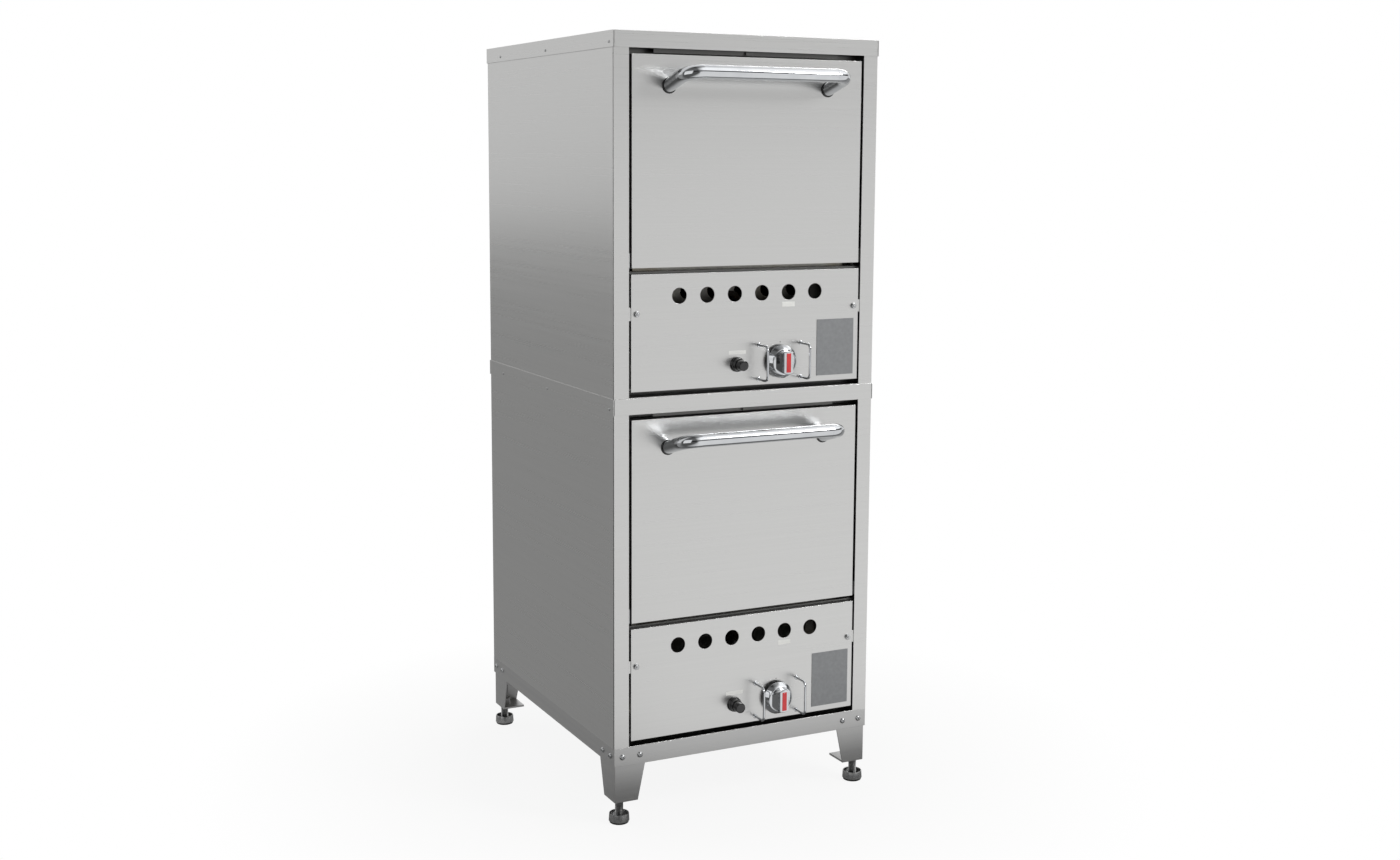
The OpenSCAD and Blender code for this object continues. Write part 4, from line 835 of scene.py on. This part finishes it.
fixings = [on_front(deck, side * FIXING_X, FIXING_Z) for deck in DECKS for side in (-1, 1)]
stud = turned([(0, -6), (5, -6), (5, -3.1), (2.5, -3.1), (2.5, 7.5), (2.1, 8), (0, 8)], 24)
washer = turned([(2.6, 0.1), (7.3, 0.1), (7.5, 0.4), (7.3, 1.2), (2.6, 1.2), (2.6, 0.1)], 40)
hexagon = turned([(2.55, 1.25), (6.35, 1.25), (6.35, 5.6), (5.7, 6.0), (2.55, 6.0), (2.55, 1.25)], 6)
make_piece("panel_fixing_nuts", joined([(stud, fixings), (washer, fixings), (hexagon, fixings)]),
           zinc, "oven", ("panel_fixings",), 0.25, 2)
print("cap screws:", len(cap_places), "panel fixings:", len(fixings))

# %% [markdown]
# ### Rivets of the rear panel
# Blind rivets hold the rear panel round its edge. Each head has the small dimple that the broken
# mandrel leaves.

# %% Rear panel rivets
RIVET_X = 335
rivet = turned([(0, -2), (1.6, -2), (1.6, 0.05), (3.4, 0.05), (3.3, 0.7), (2.2, 1.4), (0.9, 1.6),
                (0.8, 0.9), (0, 0.9)], 24)
rivet_points = [(x, z) for x in (-RIVET_X, -112, 112, RIVET_X) for z in (-60, -815)]
rivet_points += [(x, z) for x in (-RIVET_X, RIVET_X) for z in (-312, -564)]
rivet_places = [in_deck(deck) @ at(x, BODY_DEPTH, z) @ rolled(-90, "X")
                for deck in DECKS for x, z in rivet_points]
make_piece("rear_rivets", joined([(rivet, rivet_places)]), zinc, "oven")
print("rivets:", len(rivet_places))

# %% [markdown]
# ### Leg bolts
# Each corner leg is folded round the base, so it has two bolts in its front or rear face and two
# in its side face, each with a nut behind the sheet.

# %% Leg bolts
BOLT_Z, BOLT_EDGES, LEG_SHEET = 168, (21, 67), 2
base_front = at(0, front_y / MM, BOLT_Z)
bolt_places = []
for end in (0, 1):
    for side in (-1, 1):
        for edge in BOLT_EDGES:
            out = rolled(-90 if end else 90, "X")
            bolt_places.append(base_front @ at(side * (BODY_HALF - edge), end * BODY_DEPTH, 0) @ out)
            y = BODY_DEPTH - edge - LEG_SHEET if end else edge + LEG_SHEET
            bolt_places.append(base_front @ at(side * BODY_HALF, y, 0) @ rolled(side * 90, "Y"))
head = turned([(0, 1.2), (2.3, 1.2), (2.4, 4.3), (3.2, 4.4), (5.2, 3.4), (6.6, 1.6), (7, 0.3),
               (6.8, 0.05), (4, 0.05), (4, -14), (0, -14)], 32)
nut = turned([(4.1, -12), (7.3, -12), (7.3, -6.1), (4.1, -6.1), (4.1, -12)], 6)
make_piece("leg_bolt_heads", joined([(head, bolt_places), (nut, bolt_places)]), zinc, "oven",
           ("leg_bolts",))
print("leg bolts:", len(bolt_places))

# %% [markdown]
# ## Levelling feet
# Each foot is a threaded stud in a pressed steel cup with a rubber pad. The thread is one pitch
# of its outline swept round and up, turn after turn, which the spin operator does when it is
# given a rise for every step. Both of its open ends are closed by a fan of faces round a hub. A
# real M20 thread rises 2.5 mm a turn.

# %% Feet
FOOT_X, FOOT_INSET = 328, 22


def threaded_stud(low, high, radius=10.0, pitch=2.5, steps=24):
    """A helical thread along Z and the core that fills it, which ends in a chamfered tip."""
    shape = bmesh.new()
    root = radius - 0.61 * pitch
    turns = int((high - low - 3) / pitch)
    outline = [(root, 0), (radius, 0.42 * pitch), (radius, 0.58 * pitch), (root, pitch)]
    points = [shape.verts.new((r * MM, 0, (low + z) * MM)) for r, z in outline]
    lines = [shape.edges.new(pair) for pair in zip(points, points[1:])]
    bmesh.ops.spin(shape, geom=points + lines, axis=(0, 0, 1), cent=(0, 0, 0),
                   angle=2 * math.pi * turns, steps=turns * steps, dvec=(0, 0, pitch / steps * MM))
    bmesh.ops.remove_doubles(shape, verts=shape.verts, dist=0.005 * MM)
    rims = [edge for edge in shape.edges if edge.is_boundary]
    for at_top in (False, True):
        rim = [edge for edge in rims if (edge.verts[0].co.z > (low + high) / 2 * MM) == at_top]
        hub = shape.verts.new((0, 0, sum(edge.verts[0].co.z for edge in rim) / len(rim)))
        for edge in rim:
            shape.faces.new((*edge.verts, hub))
    bmesh.ops.recalc_face_normals(shape, faces=shape.faces)
    core = turned([(0, low), (root + 0.05, low), (root + 0.05, high - 1.2), (root - 1, high),
                   (0, high)], steps)
    return shape, core


for end, end_name in enumerate(("front", "rear")):
    for side, side_name in ((-1, "left"), (1, "right")):
        name = f"{end_name}_{side_name}_foot"
        inset = BODY_DEPTH - FOOT_INSET if end else FOOT_INSET
        place = at(side * FOOT_X, front_y / MM + inset, 0)
        thread, core = threaded_stud(9.1, 110)
        make_piece(name + "_stud", joined([(thread, [place]), (core, [place])]), turned_steel,
                   name + "_body", (name,))
        cup = turned([(0, 5), (24.4, 5), (25, 5.7), (23.9, 22.6), (23.5, 23.8), (22.6, 24),
                      (21.8, 23.4), (22, 9), (10.4, 9), (0, 9)], 64)
        make_piece(name + "_cup", joined([(cup, [place])]), turned_steel, name + "_body")
        pad = turned([(0, 0), (21.6, 0), (22.8, 0.8), (23, 2.2), (22.6, 2.5), (23, 2.8), (22.8, 4.9),
                      (0, 4.9)], 64)
        make_piece(name + "_pad", joined([(pad, [place])]), rubber, name + "_body")

# %% [markdown]
# ## Counterbalance springs
# Two tension springs pull on the hinge arms and carry the door's weight. A tension spring is
# wound with its turns touching, and its last turn is bent up into a hook. The wire is a small
# disc spun round the coil's axis with a rise of one wire for every turn.

# %% Springs
TURN_GAP = 0.12


def coiled_wire(wire_r, start, **sweep):
    """A disc of wire set at start, in millimetres, and swept round the origin."""
    shape = bmesh.new()
    disc = bmesh.ops.create_circle(shape, cap_ends=True, segments=8, radius=wire_r * MM,
                                   matrix=at(*start) @ rolled(90, "X"))
    tip = list({face for vert in disc["verts"] for face in vert.link_faces})
    bmesh.ops.spin(shape, geom=tip, cent=(0, 0, 0), **sweep)
    bmesh.ops.recalc_face_normals(shape, faces=shape.faces)
    return shape


def tension_spring(length, coil_r=4.5, wire_r=1.0, hook_r=4.3, steps=16):
    """A close-wound spring along Z between two pins, its hooks round the pins."""
    low, high = hook_r, length - hook_r
    turns = int((high - low) / (2 * wire_r + TURN_GAP))
    coil = coiled_wire(wire_r, (coil_r, 0, low), axis=(0, 0, 1), angle=2 * math.pi * turns,
                       steps=turns * steps, dvec=(0, 0, (high - low) / (turns * steps) * MM))
    parts = [(coil, [Matrix()])]
    for middle, start in ((0, 30), (length, 210)):
        hook = coiled_wire(wire_r, (0, 0, hook_r), axis=(1, 0, 0), angle=math.radians(300), steps=20)
        parts.append((hook, [at(0, 0, middle) @ rolled(start, "X")]))
    return parts


PIN_Y, PIN_Z, ANCHOR_Y, ANCHOR_Z = 37.52, -579.88, 67.0, -790.5
SPRING_X = 291.0
length = math.hypot(ANCHOR_Y - PIN_Y, PIN_Z - ANCHOR_Z)
lean = Matrix.Rotation(math.atan2(ANCHOR_Y - PIN_Y, PIN_Z - ANCHOR_Z), 4, "X")
for deck in DECKS:
    places = [in_deck(deck) @ at(side * SPRING_X, ANCHOR_Y, ANCHOR_Z) @ lean for side in (-1, 1)]
    coils = [(shape, [place @ own[0] for place in places]) for shape, own in tension_spring(length)]
    make_piece(deck + "_tension_springs", joined(coils), zinc, "oven",
               (deck + "_door_springs",))
print("spring length:", round(length, 1), "mm")

# %% [markdown]
# ## Stickers and the dial's mark
# Two blank white stickers sit on each panel, and a small enamelled mark above the knob shows
# where its strip points when the gas is off. A sticker is a thin brick, and the mark is a disc
# turned in only three steps, which makes a triangle.

# %% Stickers and marks
MARK_Z = -724.5
stickers, marks = [], []
for deck in DECKS:
    panel = on_front(deck, 0, 0)
    stickers.append((brick((92.6, -639.5, 0.02), (127.3, -627.5, 0.2)), [panel]))
    stickers.append((brick((-51.7, -749, 0.02), (-5.7, -740, 0.2)), [panel]))
    tick = turned([(0, 0.02), (2.0, 0.02), (2.0, 0.12), (0, 0.12)], 3)
    marks.append((tick, [on_front(deck, KNOB[0], MARK_Z) @ rolled(-90, "Z")]))
make_piece("blank_stickers", joined(stickers), vinyl, "oven", (), 0.05, 1)
make_piece("dial_marks", joined(marks), enamel, "oven")
